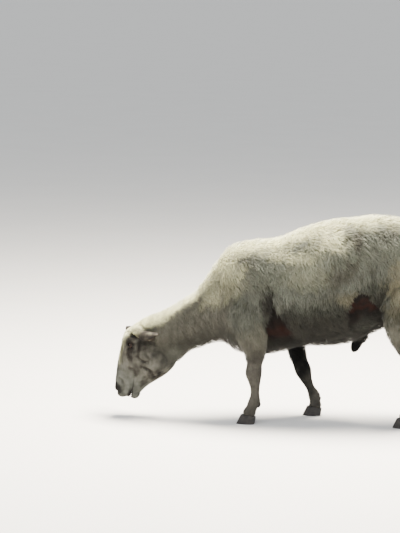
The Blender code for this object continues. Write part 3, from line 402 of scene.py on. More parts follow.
CAMERA_AZIMUTH, CAMERA_ELEVATION, CAMERA_DISTANCE = 7.0, 8.0, 9.0
CAMERA_AIM = (-0.334, 0.0, 0.614)
VIEW_WIDTH = 1.6  # what the picture's 400 pixels span at the aim
PICTURE = (400, 533)
SENSOR = 36.0

# Lights: place, aim, size, colour.
OVERHEAD = ((0.5, 0.6, 3.9), (0.0, 0.0, 0.6), (2.4, 1.6), "#FFF6E8")
BY_THE_CAMERA = ((-1.8, -3.6, 3.8), (0.0, 0.0, 0.5), (3.0, 2.2), "#F4F5FA")
SKY = "#E9EDF2"
FLOOR_HALF = 180.0  # metres from the middle to each edge, so that the floor reaches the top of the picture


def linear(code):
    """An sRGB hex colour as linear values."""
    parts = np.array([int(code[i : i + 2], 16) for i in (1, 3, 5)]) / 255
    return tuple(np.where(parts <= 0.04045, parts / 12.92, ((parts + 0.055) / 1.055) ** 2.4))


def length(name, text, default):
    """A length property in metres."""
    return FloatProperty(name=name, description=text, default=default, min=0.0, unit="LENGTH", precision=4)


def colour(name, text, code):
    """A colour property that starts from an sRGB hex value."""
    return FloatVectorProperty(
        name=name, description=text, default=linear(code), size=3, min=0.0, max=1.0, subtype="COLOR"
    )


class SheepSkinSettings(bpy.types.PropertyGroup):
    coat_depth: length("Coat depth", "From the skin to the tips of the fleece on the trunk", 0.026)
    body_voxel: length("Body detail", "Edge length of the skin's faces on the body", 0.0062)
    head_voxel: length("Head detail", "Edge length of the skin's faces on the head", 0.0023)


class SheepCoatSettings(bpy.types.PropertyGroup):
    wool_length: length("Wool length", "Length of the longest tufts of the fleece", 0.028)
    wool_width: length("Wool width", "Width of the widest tufts of the fleece", 0.0029)
    hair_length: length("Hair length", "Length of the hair tufts on face and legs", 0.0090)
    hair_width: length("Hair width", "Width of the hair tufts on face and legs", 0.0014)
    wool_cover: FloatProperty(name="Wool cover", description="Wool layers", default=4.65, min=0.5, max=8.0)
    hair_cover: FloatProperty(name="Hair cover", description="Hair layers", default=1.25, min=0.2, max=4.0)
    seed: IntProperty(name="Seed", description="Start of the seeded random draws", default=11, min=0)


class SheepColourSettings(bpy.types.PropertyGroup):
    # The back tone: pale wool, brightened as painted sunlight along the top of the back and neck.
    back: colour("Back", "Sun-bleached wool along the back and the top of the neck", "#FAF9C8")
    high: colour("High side", "Wool of the upper sides", "#818475")
    side: colour("Side", "Dusty wool of the middle of the sides", "#6C6F65")
    # The low tone: greyer wool, darkened as painted shade low on the sides and the shoulder.
    low: colour("Low side", "Greyer wool low on the sides and the shoulder", "#383A33")
    # The belly tone: dull coat, darkened as painted shade under the body and on the insides of the legs.
    belly: colour("Belly", "Dull, greasy coat of the belly and between the legs", "#272620")
    cream: colour("Cream", "Clean wool that shows in patches", "#FCFACB")
    straw: colour("Straw", "Warm, grease-stained wool of the thighs", "#A39B7D")
    brown: colour("Brown", "Dirty tips of worn wool", "#504D44")
    neck: colour("Neck", "Thin wool of the neck, with the skin showing through", "#5F5D54")
    face: colour("Face", "Short hair of the face", "#4F4E47")
    muzzle: colour("Muzzle", "Short grey hair of the muzzle", "#4C4D47")
    # The shade tone: painted shade in the folds, creases and hollows of the face and the body.
    shade: colour("Fold shade", "Dark hair in the folds round the eyes", "#1F1B17")
    leg: colour("Leg", "Thin wool of the upper legs", "#6F6E62")
    shin: colour("Shin", "Short hair of the lower legs", "#3F3D38")
    knee: colour("Knee", "Thin hair of the knees, with the skin showing through", "#2A2824")
    # The dark leg tone: painted shade on the right foreleg; the same dark lies round the tip of the sheath.
    dark_leg: colour("Dark leg", "Dark hair of the right foreleg and the sheath", "#070706")
    # The bare tone: reddish bare skin, darkened as painted shade.
    bare: colour("Bare skin", "Bare skin of the flank and the armpit", "#260D06")
    # The hollow tone: painted shade under the overhang of the fleece.
    hollow: colour("Hollow", "Greasy dark skin under the overhang of the fleece", "#120D0A")
    ear: colour("Ear", "Short hair on the back of the ear", "#26211E")
    cup: colour("Inner ear", "Thinly haired skin inside the ear, in shade", "#3F3029")
    nose: colour("Nose", "Bare skin of the nostrils and lips", "#1A1816")
    horn: colour("Horn", "Horn of the claws", "#2B2723")
    iris: colour("Iris", "Iris of the eye", "#2C1E13")


class SheepStageSettings(bpy.types.PropertyGroup):
    floor: colour("Floor", "Plain studio floor", "#E8E6E1")
    key: FloatProperty(name="Key light", description="Power of the overhead light", default=1600.0, min=0.0)
    fill: FloatProperty(name="Fill light", description="Power by the camera", default=170.0, min=0.0)


def ripple(points, size, seed):
    """Smooth noise from about -1 to 1: the sum of ten sine waves of seeded direction and phase."""
    draw = np.random.default_rng(seed)
    ways = unit(draw.normal(size=(10, 3)))
    ways *= 2 * math.pi / (size * draw.uniform(0.7, 1.6, (10, 1)))
    return np.sin(points @ ways.T + draw.uniform(0, 2 * math.pi, 10)).sum(axis=1) / 3.2


def step(low, high, values):
    """0 under low, 1 over high, and a smooth cubic between them."""
    share = np.clip((values - low) / (high - low), 0.0, 1.0)
    return share * share * (3 - 2 * share)


def unit(vectors):
    """Vectors at length one."""
    return vectors / np.maximum(np.linalg.norm(vectors, axis=-1, keepdims=True), 1e-9)


def smooth_rows(rows, count):
    """Station rows carried through a smooth cubic and read at even steps of the middle line."""
    rows = np.asarray(rows, float)
    at = np.concatenate([[0.0], np.cumsum(np.linalg.norm(np.diff(rows[:, :3], axis=0), axis=1))])
    slope = np.gradient(rows, at, axis=0)
    t = np.linspace(0.0, at[-1], count)
    i = np.clip(np.searchsorted(at, t, side="right") - 1, 0, len(at) - 2)
    h = (at[i + 1] - at[i])[:, None]
    f = (t - at[i])[:, None] / h
    return (
        (1 + 2 * f) * (1 - f) ** 2 * rows[i]
        + f * (1 - f) ** 2 * h * slope[i]
        + f * f * (3 - 2 * f) * rows[i + 1]
        + f * f * (f - 1) * h * slope[i + 1]
    )


def rows_between_edges(stations):
    """Rows (middle, up x, up z, reach up, reach down, half width, squareness, coat share) from two edges."""
    rows = []
    for (top_x, top_z), (low_x, low_z), half, widest, square, coat in stations.values():
        top = np.array([top_x - ORIGIN_X, 0.0, top_z])
        low = np.array([low_x - ORIGIN_X, 0.0, low_z])
        tall = np.linalg.norm(top - low)
        up = (top - low) / tall
        middle = top - up * widest * tall
        rows.append([*middle, up[0], up[2], widest * tall, (1 - widest) * tall, half, square, coat])
    return rows


def rows_along_line(stations, side):
    """The same rows from a middle line, with each section square to that line."""
    values = np.array(list(stations.values()))
    if values.shape[1] == 5:
        values = np.insert(values, 2, 0.0, axis=1)
    middles = np.stack([values[:, 0] - ORIGIN_X, side * values[:, 2], values[:, 1]], axis=1)
    way = unit(np.gradient(middles, axis=0)[:, [0, 2]])
    up = np.stack([-np.abs(way[:, 1]), way[:, 0] * np.sign(way[:, 1])], axis=1)
    return [
        [*middle, *over, value[3], value[3], value[4], 2.1, value[5]]
        for middle, over, value in zip(middles, up, values)
    ]


def shrunk(rows, depth):
    """Rows moved in from the coat's tips to the skin, by each row's share of the coat's depth."""
    rows = np.array(rows)
    rows[:, 5:8] -= depth * rows[:, 9:10]
    return rows


def domed(rows, dome):
    """Rows with three more behind the last, which round the end off as a quarter of an ellipse."""
    way = unit(rows[-1, :3] - rows[-2, :3])
    turn = np.radians([35, 62, 82])[:, None]
    more = np.repeat(rows[-1:], 3, axis=0)
    more[:, :3] += way * dome * np.sin(turn)
    more[:, 5:8] *= np.cos(turn)
    return np.vstack([rows, more])


def rings_of(rows, sides):
    """Section rings (section, corner, xyz). Each is a superellipse with its own reach up and down."""
    turn = np.arange(sides) * 2 * math.pi / sides
    c, s = np.cos(turn)[None, :], np.sin(turn)[None, :]
    up = unit(np.stack([rows[:, 3], np.zeros(len(rows)), rows[:, 4]], axis=1))
    square = rows[:, 8:9]
    rise = np.where(c >= 0, rows[:, 5:6], rows[:, 6:7]) * np.sign(c) * np.abs(c) ** (2 / square)
    out = rows[:, 7:8] * np.sign(s) * np.abs(s) ** (2 / square)
    return (
        rows[:, None, :3]
        + up[:, None, :] * rise[:, :, None]
        + np.array([0.0, 1.0, 0.0]) * out[:, :, None]
    )


def unit_ball(sides, rows):
    """Rings of a ball of radius one about its third axis, and each ring's angle from that axis."""
    polar = (np.arange(rows) + 0.5) * math.pi / rows
    around = np.arange(sides) * 2 * math.pi / sides
    wide = np.sin(polar)[:, None]
    x, y = wide * np.cos(around)[None, :], wide * np.sin(around)[None, :]
    return np.stack([x, y, np.repeat(np.cos(polar)[:, None], sides, axis=1)], axis=2), polar


def ball_rings(place, radii, turn=None, sides=32, rows=18):
    """An ellipsoid as rings about its own third axis, turned by a matrix and placed."""
    points = unit_ball(sides, rows)[0] * np.array(radii)
    if turn is not None:
        points = points @ turn.T
    return points + np.array(place)


def about(axis, degrees):
    """The matrix of a turn about the X, Y or Z axis."""
    c, s = math.cos(math.radians(degrees)), math.sin(math.radians(degrees))
    i, j = {"X": (1, 2), "Y": (2, 0), "Z": (0, 1)}[axis]
    turn = np.eye(3)
    turn[i, i], turn[i, j], turn[j, i], turn[j, j] = c, -s, s, c
    return turn


def closed_tubes(grids):
    """Points and triangles of ring grids, with a fan to the middle of each end ring."""
    points, faces, first = [], [], 0
    for grid in grids:
        count, sides = grid.shape[:2]
        corner = first + np.arange(count * sides).reshape(count, sides)
        a, b = corner[:-1], corner[1:]
        c, d = np.roll(b, -1, axis=1), np.roll(a, -1, axis=1)
        poles = first + count * sides + np.arange(2)
        start = np.stack([np.roll(corner[0], -1), corner[0], np.full(sides, poles[0])], axis=1)
        end = np.stack([corner[-1], np.roll(corner[-1], -1), np.full(sides, poles[1])], axis=1)
        halves = [np.stack(three, axis=2).reshape(-1, 3) for three in ((a, d, c), (a, c, b))]
        made = np.concatenate([*halves, start, end])
        flat = grid.reshape(-1, 3)
        whole = np.vstack([flat, grid[0].mean(axis=0), grid[-1].mean(axis=0)])
        corners = whole[made - first]
        volume = np.einsum("ij,ij->i", corners[:, 0], np.cross(corners[:, 1], corners[:, 2])).sum()
        faces.append(made if volume > 0 else made[:, ::-1])
        points.append(whole)
        first += len(whole)
    return np.vstack(points), np.vstack(faces)


def triangle_mesh(name, points, faces):
    """A smooth-shaded mesh object from arrays of points and triangles."""
    mesh = bpy.data.meshes.new(name)
    mesh.vertices.add(len(points))
    mesh.vertices.foreach_set("co", np.ascontiguousarray(points, np.float32).ravel())
    mesh.loops.add(faces.size)
    mesh.loops.foreach_set("vertex_index", np.ascontiguousarray(faces, np.int32).ravel())
    mesh.polygons.add(len(faces))
    mesh.polygons.foreach_set("loop_start", np.arange(0, faces.size, 3, dtype=np.int32))
    mesh.update(calc_edges=True)
    mesh.polygons.foreach_set("use_smooth", np.ones(len(faces), bool))
    obj = bpy.data.objects.new(name, mesh)
    bpy.context.scene.collection.objects.link(obj)
    return obj


def bake(obj):
    """Applies the object's modifiers."""
    graph = bpy.context.evaluated_depsgraph_get()
    graph.update()
    mesh = bpy.data.meshes.new_from_object(obj.evaluated_get(graph))
    old = obj.data
    obj.modifiers.clear()
    obj.data = mesh
    bpy.data.meshes.remove(old)
    return obj


def fused(obj, voxel, passes):
    """Overlapping shells made one smooth closed surface, by a voxel remesh and then even smoothing."""
    remesh = obj.modifiers.new("fuse", "REMESH")
    remesh.mode = "VOXEL"
    remesh.voxel_size = voxel
    ease = obj.modifiers.new("ease", "SMOOTH")
    ease.factor = 0.5
    ease.iterations = passes
    return bake(obj)


def joined(target, operation, tools):
    """One Boolean of the target with closed tools, which are then removed."""
    box = bpy.data.collections.new("tools")
    bpy.context.scene.collection.children.link(box)
    for tool in tools:
        box.objects.link(tool)
    modifier = target.modifiers.new(operation, "BOOLEAN")
    modifier.operation = operation
    modifier.solver = "MANIFOLD"
    modifier.operand_type = "COLLECTION"
    modifier.collection = box
    bake(target)
    for tool in tools:
        bpy.data.objects.remove(tool)
    bpy.data.collections.remove(box)
    return target


def ear_lines(side):
    """The root of an ear, the way to its tip and the way that its back faces, square to that."""
    (x, y, z), reach, back = EARS[side]
    mirror = np.array([1.0, side, 1.0])
    reach, back = np.array(reach) * mirror, np.array(back) * mirror
    along = unit(reach)
    return np.array([x - ORIGIN_X, side * y, z]), reach, unit(back - along * back.dot(along))


def ear_section(t):
    """An ear's section at shares of its length: half of its arc, the arc's radius, its middle's height."""
    arc = np.radians(EAR_ARC - EAR_OPENS * t**0.8)
    radius = np.interp(t, EAR_SHARES, EAR_HALVES) / np.sin(np.minimum(arc, math.pi / 2))
    return arc, radius, EAR_LIFT * t - EAR_SAG * np.sin(math.pi * t) - 0.6 * radius


def ear_rings(side):
    """An ear as a cupped leaf: across it the shell follows an arc that opens from the root to the tip.

    Each ring runs over the back of the leaf and returns along its inside, half a thickness to each side.
    """
    root, reach, back = ear_lines(side)
    edge = np.cross(unit(reach), back)
    t = np.linspace(0.0, 1.0, 44)[:, None]
    arc, radius, height = ear_section(t)
    share = np.linspace(-1, 1, 27)[None, :]
    rings = []
    for off, order in ((0.5, 1), (-0.5, -1)):
        wall = radius + off * EAR_THICKNESS * np.sqrt(np.clip(1 - share**6, 0.04, 1)) * (1 - 0.5 * t)
        rise = height + wall * np.cos(arc * share)
        out = wall * np.sin(arc * share)
        sheet = root + reach * t[:, :, None] + back * rise[:, :, None] + edge * out[:, :, None]
        rings.append(sheet[:, ::order])
    return np.concatenate(rings, axis=1)


def body_parts(depth, count=90):
    """Rows of every tube of the body, from the skin's own outline."""
    parts = {
        "trunk": domed(smooth_rows(shrunk(rows_between_edges(TRUNK), depth), count), RUMP_DOME),
        "head": domed(smooth_rows(shrunk(rows_between_edges(HEAD), depth), count), MUZZLE_DOME),
        "tail": domed(smooth_rows(shrunk(rows_along_line(TAIL, 0), depth), 24), TAIL_DOME),
    }
    for name, (stations, side) in LEGS.items():
        parts[name] = smooth_rows(shrunk(rows_along_line(stations, side), depth), count)
    return parts


def hollowed(points):
    """Points of the trunk pressed in to the wall of each hollow, where the hollow's ellipsoid holds them."""
    points = points.copy()
    for (x, y, z), (long, deep, tall), *_ in HOLLOWS.values():
        share = ((points[..., 0] - x + ORIGIN_X) / long) ** 2 + ((points[..., 2] - z) / tall) ** 2
        wall = y - deep * np.sqrt(np.clip(1 - share, 0, 1))
        inside = (share < 1) & (np.abs(points[..., 1]) > wall)
        points[..., 1] = np.where(inside, np.sign(points[..., 1]) * wall, points[..., 1])
    return points


def make_body(settings):
    """Trunk, neck, legs, tail and sheath, fused."""
    parts = body_parts(settings.coat_depth)
    grids = [hollowed(rings_of(parts["trunk"], 96)), rings_of(parts["tail"], 32)]
    for name, (stations, side) in LEGS.items():
        grids.append(rings_of(parts[name], 40))
        if "hock" in stations:
            x, z, y = stations["hock"][:3]
            off, radii, lean = HOCK_POINT
            place = (x + off[0] - ORIGIN_X, side * y, z + off[2])
            grids.append(ball_rings(place, radii, about("Y", lean)))
    (x, y, z), radii, lean = SHEATH
    grids.append(ball_rings((x - ORIGIN_X, y, z), radii, about("Y", lean)))
    return fused(triangle_mesh("body", *closed_tubes(grids)), settings.body_voxel, passes=8)


def in_profile(points):
    """The (x, z) of points, measured as the stations are."""
    return points[:, [0, 2]] + np.array([ORIGIN_X, 0.0])


def distance_to_line(flat, line):
    """Distance of (x, z) points to a chain of straight pieces, and how far along the chain, from 0 to 1."""
    best = np.full(len(flat), np.inf)
    along = np.zeros(len(flat))
    for i, (a, b) in enumerate(zip(line[:-1], line[1:])):
        way = b - a
        share = np.clip((flat - a) @ way / (way @ way), 0, 1)
        gap = np.linalg.norm(flat - a - share[:, None] * way, axis=1)
        along = np.where(gap < best, (i + share) / (len(line) - 1), along)
        best = np.minimum(best, gap)
    return best, along


def creased(points, normals):
    """How deep the face's creases and lids are at each point, with a low ridge of flesh beside each crease.

    Both are bells of the distance, and fade out towards a crease's ends and where the face turns forward.
    """
    depth = np.zeros(len(points))
    flat = in_profile(points)
    sideways = step(0.35, 0.75, np.abs(normals[:, 1])) * step(0.012, 0.022, np.abs(points[:, 1]))
    beside, out = CREASE_RIDGE
    for line, deep, half in CREASES.values():
        gap, along = distance_to_line(flat, np.array(line))
        fade = np.sin(math.pi * np.clip(along, 0.04, 0.96)) ** 0.5
        groove = np.exp(-((gap / half) ** 2)) - beside * np.exp(-(((gap - out * half) / half) ** 2))
        depth += deep * fade * groove * sideways
    for side in (LEFT, RIGHT):
        rim = lid_ellipse(points, side)
        lid = np.zeros(len(points))
        for deep, middle in (LID_FOLD, (-LID_EDGE[0], LID_EDGE[1])):
            lid += deep * np.exp(-(((rim - middle) / LID_SOFT) ** 2))
        depth += lid * sideways * (points[:, 1] * side > 0)
    return depth


def lid_ellipse(points, side):
    """How far points lie from the middle of an eye, where 1 is the edge of its opening."""
    middle, _ = eye_of(side)
    off = (points - middle) @ about("Y", EYE_SLANT)
    return np.hypot(off[:, 0] / EYE_OPENING[0], off[:, 2] / EYE_OPENING[1])


def vertex_array(mesh, what="co"):
    """The points or the normals of a mesh's vertices."""
    values = np.empty(len(mesh.vertices) * 3, np.float32)
    if what == "co":
        mesh.vertices.foreach_get("co", values)
    else:
        mesh.vertex_normals.foreach_get("vector", values)
    return values.reshape(-1, 3).astype(float)


def mouth_wedge():
    """A wedge between the lips, from the mouth's corner to past the front, bowed towards the jaw."""
    corner, front = np.array(MOUTH_CORNER), np.array(MOUTH_FRONT)
    t = np.linspace(0.0, MOUTH_PAST, 16)[:, None]
    way = front - corner
    square = np.array([way[1], -way[0]]) / np.linalg.norm(way)
    line = corner + way * t - square * MOUTH_BOW * t * (1 - np.minimum(t, 1))
    gape = MOUTH_GAPE * (0.10 + 0.5 * t**2.2)
    outline = np.vstack([line + square * gape, (line - square * gape)[::-1]])
    grid = np.zeros((len(MOUTH_SIDES), len(outline), 3))
    grid[:, :, 0] = outline[:, 0] - ORIGIN_X
    grid[:, :, 1] = np.array(MOUTH_SIDES)[:, None]
    grid[:, :, 2] = outline[:, 1]
    return triangle_mesh("mouth", *closed_tubes([grid]))


def eye_of(side):
    """Middle and radius of an eye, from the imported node's box."""
    low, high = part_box("eye_left" if side == LEFT else "eye_right")
    low, high = np.array(low), np.array(high)
    return (low + high) / 2, (high - low).max() / 2


def make_head(settings):
    """The head with its ears, lids, creases, nostrils and mouth."""
    grids = [rings_of(body_parts(settings.coat_depth)["head"], 64)]
    cuts = []
    for side in (LEFT, RIGHT):
        for (x, y, z), radii in HEAD_FORMS.values():
            grids.append(ball_rings((x - ORIGIN_X, side * y, z), radii))
        middle, radius = eye_of(side)
        flat = about("X", 90)
        grids.append(ball_rings(middle, (radius + LID_THICKNESS,) * 3, flat))
        grids.append(ear_rings(side))
        slant = about("Y", EYE_SLANT)
        outward = middle + np.array([0.0, side * OPENING_OUT, 0.0])
        (x, y, z), radii, lean = NOSTRIL
        cuts += [
            ball_rings(middle, (radius + SOCKET_PLAY,) * 3, flat, 48, 32),
            ball_rings(outward, (EYE_OPENING[0], OPENING_DEEP, EYE_OPENING[1]), slant, 48, 32),
            ball_rings((x - ORIGIN_X, side * y, z), radii, about("X", side * lean)),
        ]
    head = fused(triangle_mesh("head_skin", *closed_tubes(grids)), settings.head_voxel, passes=5)
    points = vertex_array(head.data)
    normals = vertex_array(head.data, "normal")
    points -= normals * creased(points, normals)[:, None]
    head.data.vertices.foreach_set("co", points.astype(np.float32).ravel())
    head.data.update()
    tools = [triangle_mesh("cut", *closed_tubes([cut])) for cut in cuts]
    return joined(head, "DIFFERENCE", tools + [mouth_wedge()])


def place_on(points, rows):
    """Where points lie on a tube: along it from 0 to 1, out from its middle (1 on its surface), round it.

    A point belongs between the two section planes that it lies between, or to the nearest end. Round it is
    the angle from the top, positive on the right side. The way along the tube comes last.
    """
    points, rows = points.astype(np.float32), rows.astype(np.float32)
    way = unit(np.gradient(rows[:, [0, 2]], axis=0))
    square = np.stack([rows[:, 4], -rows[:, 3]], axis=1)
    square *= np.sign((square * way).sum(axis=1, keepdims=True))
    off_x = points[:, None, 0] - rows[None, :, 0]
    off_z = points[:, None, 2] - rows[None, :, 2]
    ahead = off_x * square[None, :, 0] + off_z * square[None, :, 1]
    far = off_x**2 + off_z**2
    between = (ahead[:, :-1] >= 0) & (ahead[:, 1:] < 0)
    cost = np.where(between, far[:, :-1], OUTSIDE + far[:, :-1])
    i = cost.argmin(axis=1)
    n = np.arange(len(points))
    missed = ~between[n, i]
    f = ahead[n, i] / np.maximum(ahead[n, i] - ahead[n, i + 1], 1e-6)
    f = np.clip(f, 0, 1)
    row = rows[i] * (1 - f[:, None]) + rows[i + 1] * f[:, None]
    up = unit(row[:, 3:5])
    rise = (points[:, 0] - row[:, 0]) * up[:, 0] + (points[:, 2] - row[:, 2]) * up[:, 1]
    rise = rise / np.where(rise > 0, row[:, 5], row[:, 6])
    out = (points[:, 1] - row[:, 1]) / row[:, 7]
    radial = np.sqrt(rise**2 + out**2)
    past = np.maximum(0, np.maximum(-ahead[:, 0], ahead[:, -1])) / row[:, 7]
    radial = np.where(missed, np.sqrt(radial**2 + past**2) + past, radial)
    along = np.stack([way[i, 0], np.zeros(len(points)), way[i, 1]], axis=1)
    return (i + f) / (len(rows) - 1), radial, np.arctan2(out, rise), row[:, 9], along


def lie_on(name, along, turn):
    """The lie of one tube's coat: back and down on the trunk, back on the head, down and back on the legs.

    It is worked out from the tube's own way and the angle round it, and isn't yet flat on the skin.
    """
    if name == "trunk":
        round_it = [np.zeros(len(turn)), np.sin(turn) * TRUNK_OUTWARD, -np.abs(np.sin(turn))]
        backward = TRUNK_BACKWARD[0] + TRUNK_BACKWARD[1] * np.abs(np.cos(turn))
        return along * backward[:, None] + np.stack(round_it, axis=1)
    if name in LEGS:
        return along + np.array([LEG_BACKWARD, 0.0, 0.0])
    return -along if name == "head" else along


def on_ear(points, side):
    """1 on an ear, 1 in its cup, and the way to its tip, by how far points are from the ear's own arc."""
    root, reach, back = ear_lines(side)
    far = (points - root) @ reach / (reach @ reach)
    held = np.clip(far, 0, 1)
    _, radius, height = ear_section(held)
    middle = root + held[:, None] * reach
    off = np.linalg.norm(points - middle - back * height[:, None], axis=1) - radius
    here = step(*EAR_SPAN[0], far) * step(*EAR_SPAN[1], far) * step(*EAR_WALL, np.abs(off))
    return here, here * step(*CUP_SIDE, off), unit(reach)


def reading(points, depth):
    """What the body is at each point: weight of every tube, place on it, coat share and lie of the coat.

    Tubes blend where they meet, by how near the point is to each one's surface. The coat is thin on the
    insides of the legs and round the sheath, and is short hair on the ears.
    """
    parts = body_parts(depth, READ_ROWS)
    found = {name: place_on(points, rows) for name, rows in parts.items()}
    radial = np.stack([found[name][1] for name in parts])
    weight = np.exp(-BLEND * (radial - radial.min(axis=0)))
    weight /= weight.sum(axis=0)
    share = np.zeros(len(points))
    lie = np.zeros((len(points), 3))
    for (name, (_, _, turn, coat, along)), w in zip(found.items(), weight):
        if name in LEGS:
            inner = step(-0.1, -0.8, np.sin(turn) * LEGS[name][1])
            coat = coat * (1 - 0.75 * inner)
        share += w * coat
        lie += w[:, None] * lie_on(name, along, turn)
    ear, cup = np.zeros((2, len(points)))
    for side in (LEFT, RIGHT):
        here, inside, way = on_ear(points, side)
        lie = lie * (1 - here[:, None]) + way * here[:, None]
        share *= 1 - here
        ear, cup = np.maximum(ear, here), np.maximum(cup, inside)
    bare, red = bareness(points)
    (x, y, z), (off, radius) = SHEATH[0], SHEATH_DARK
    middle = np.array([x - ORIGIN_X + off[0], y + off[1], z + off[2]])
    sheath = step(1.0, 0.7, np.linalg.norm((points - middle) / radius, axis=1))
    share *= 1 - 0.9 * sheath
    return {
        "names": list(parts),
        "weight": weight,
        "along": np.stack([found[name][0] for name in parts]),
        "turn": np.stack([found[name][2] for name in parts]),
        "share": share * (1 - bare),
        "lie": unit(lie),
        "ear": ear,
        "cup": cup,
        "bare": bare,
        "red": red,
        "sheath": sheath,
    }


def bareness(points):
    """1 in the hollows where the skin is bare, falling to 0 at their edges, and how red it is.

    Each bare place leans, narrows towards its top as the crease above it does, and is less red on the right.
    """
    bare, red = np.zeros((2, len(points)))
    for (x, y, z), (long, deep, tall), (low, high), strength, edge, narrow in HOLLOWS.values():
        taper = np.clip((z + 1.12 * tall - points[:, 2]) / (0.85 * tall), narrow, 1.0)
        middle = x - ORIGIN_X + BARE_LEAN * (z - points[:, 2])
        gap = np.hypot((points[:, 0] - middle) / (long * taper), (points[:, 2] - z) / tall)
        gap = gap + 0.08 * ripple(points, 0.045, 5) + 0.06 * ripple(points, 0.018, 7)
        here = step(*BARE_EDGE, gap) * step(y - 1.3 * deep, y - 0.9 * deep, np.abs(points[:, 1]))
        bare = np.maximum(bare, here)
        level = points[:, 2] + 0.012 * ripple(points, 0.03, 6)
        here *= step(edge - RED_FOOT, edge + RED_FOOT, level)
        band = step(low - RED_FADE, low + RED_FADE, level) * step(high + RED_FADE, high - RED_FADE, level)
        red = np.maximum(red, here * band * strength)
    return bare, red * np.where(points[:, 1] < 0, 1.0, RED_ON_THE_RIGHT)


def toward(base, tone, share):
    """Colours moved towards one tone, by a share at each point."""
    return base + (tone - base) * share[:, None]


def stretched_gap(flat, middle, radii):
    """Distance of (x, z) points from a middle, where 1 is the edge of the ellipse with these radii."""
    return np.hypot((flat[:, 0] - middle[0]) / radii[0], (flat[:, 1] - middle[1]) / radii[1])


def trunk_tones(points, along, turn, tone, broken):
    """Bands of trunk and neck, by how far round a point lies: 0 along the back, 1 under the belly."""
    # The bands are partly painted light on the back and painted shade low on the sides and under the belly.
    side = np.abs(turn) / math.pi
    neck = step(*NECK_TONE, along)
    made = np.tile(tone["side"], (len(points), 1))
    for name, (edges, wander) in SIDE_BANDS.items():
        made = toward(made, tone[name], step(*edges, side + wander * broken))
    made = toward(made, tone["neck"], neck * 0.85)
    lower = 0.14 * step(*BY_THE_HEAD, along)
    edges, wander = BACK_BAND
    made = toward(made, tone["back"], step(*edges, side - lower + wander * broken))
    edges, wander = BELLY_BAND
    under = step(*edges, side + wander * broken) * (1 - 0.8 * step(*BETWEEN_THE_THIGHS, along))
    return toward(made, tone["belly"], under * (1 - 0.5 * neck))


def patched(coats, points, tone, broken):
    """Each of the coats' colours with the named patches laid over them, painted light and painted shade
    among them.
    """
    for (x, on_side, z), (long, tall), name, strength in PATCHES.values():
        gap = np.hypot((points[:, 0] - x + ORIGIN_X) / long, (points[:, 2] - z) / tall)
        share = strength * step(*PATCH_EDGE, gap + 0.40 * broken)
        if on_side is not None:
            share = share * (points[:, 1] * on_side > 0)
        coats = [toward(coat, tone[name], share) for coat in coats]
    return coats


def head_tones(points, along, turn, tone, broken):
    """The head: pale cap, grey muzzle, painted shade in folds and places, and bare skin at lids, nostrils
    and lips.
    """
    flat = in_profile(points)
    (x, z), slope = CAP_LINE
    cap = step(*CAP_EDGE, flat[:, 1] - z + slope * (flat[:, 0] - x) + 0.004 * broken)
    cap *= step(*CAP_END, flat[:, 0] + 0.01 * broken)
    top = step(*TOP_OF_THE_HEAD, np.abs(turn) + 0.12 * broken) * step(*TOP_LENGTH, along)
    top = np.maximum(cap, top)
    made = np.tile(tone["face"], (len(points), 1))
    # The back tone on the cap and the top of the head: pale wool with painted sunlight on top.
    made = toward(made, tone["back"], top)
    made = toward(made, tone["neck"], step(*NAPE_TONE, along) * (1 - top) * 0.8)
    made = toward(made, tone["muzzle"], step(*MUZZLE_TONE, along + 0.03 * broken))
    lateral = step(*SIDES_OF_THE_HEAD, np.abs(points[:, 1]))
    # Painted shade in the dark places on the sides of the head.
    for middle, radii, strength in FACE_SHADE.values():
        gap = stretched_gap(flat, middle, radii)
        shaded = strength * step(1.5, 0.2, gap + 0.35 * broken)
        made = toward(made, tone["shade"], shaded * lateral * (1 - cap))
    # Painted shade along each crease, more for deeper creases.
    for line, deep, half in CREASES.values():
        gap, _ = distance_to_line(flat, np.array(line))
        dark = step(1.9 * half, 0.2 * half, gap + 0.4 * half * broken) * lateral
        made = toward(made, tone["shade"], dark * min(0.92, deep / DEEP_CREASE))
    for side in (LEFT, RIGHT):
        rim = lid_ellipse(points, side)
        on_side = points[:, 1] * side > 0
        # Painted shade round each eye, then the bare rim of its lids.
        made = toward(made, tone["shade"], step(*LID_SHADE, rim) * on_side * 0.95)
        made = toward(made, tone["nose"], step(*LID_BARE, rim) * on_side)
        x, y, z = NOSTRIL[0]
        gap = np.linalg.norm(points - np.array([x - ORIGIN_X, side * y, z]), axis=1)
        made = toward(made, tone["nose"], step(*NOSTRIL_BARE, gap + 0.002 * broken))
    # Bare dark skin round the tip of the nose, with painted shade at its front.
    middle, radii, strength = NOSE_TIP
    gap = stretched_gap(flat, middle, radii)
    made = toward(made, tone["nose"], step(1.45, 0.4, gap + 0.25 * broken) * strength)
    gap, along_it = distance_to_line(flat, np.array([MOUTH_CORNER, MOUTH_FRONT]))
    lips = step(*LIPS_BARE, gap + 0.002 * broken) * step(*LIPS_LENGTH, along_it)
    return toward(made, tone["nose"], lips)


def leg_tones(points, name, along, turn, upper_leg, tone, broken):
    """A leg: the thigh's tones at the top, with painted shade inside, then thin wool, short hair and a bare
    joint.
    """
    stations, side = LEGS[name]
    inner = step(0.1, 0.7, -np.sin(turn) * side)
    made = toward(upper_leg, tone["belly"], 0.7 * inner)
    down = along + 0.06 * broken
    made = toward(made, tone["leg"], step(*LEG_TONE, down))
    made = toward(made, tone["shin"], step(*SHIN_TONE, down))
    joint = stations["knee" if "knee" in stations else "hock"][1]
    far = np.abs(points[:, 2] - joint) + 0.012 * broken
    made = toward(made, tone["knee"], step(*JOINT_TONE, far) * 0.3)
    # Painted shade on the far, right foreleg.
    if name == "fore_leg_right":
        dark = step(*DARK_LEG_BEGINS, along) * step(*DARK_LEG_ENDS, down)
        made = toward(made, tone["dark_leg"], dark)
    return made


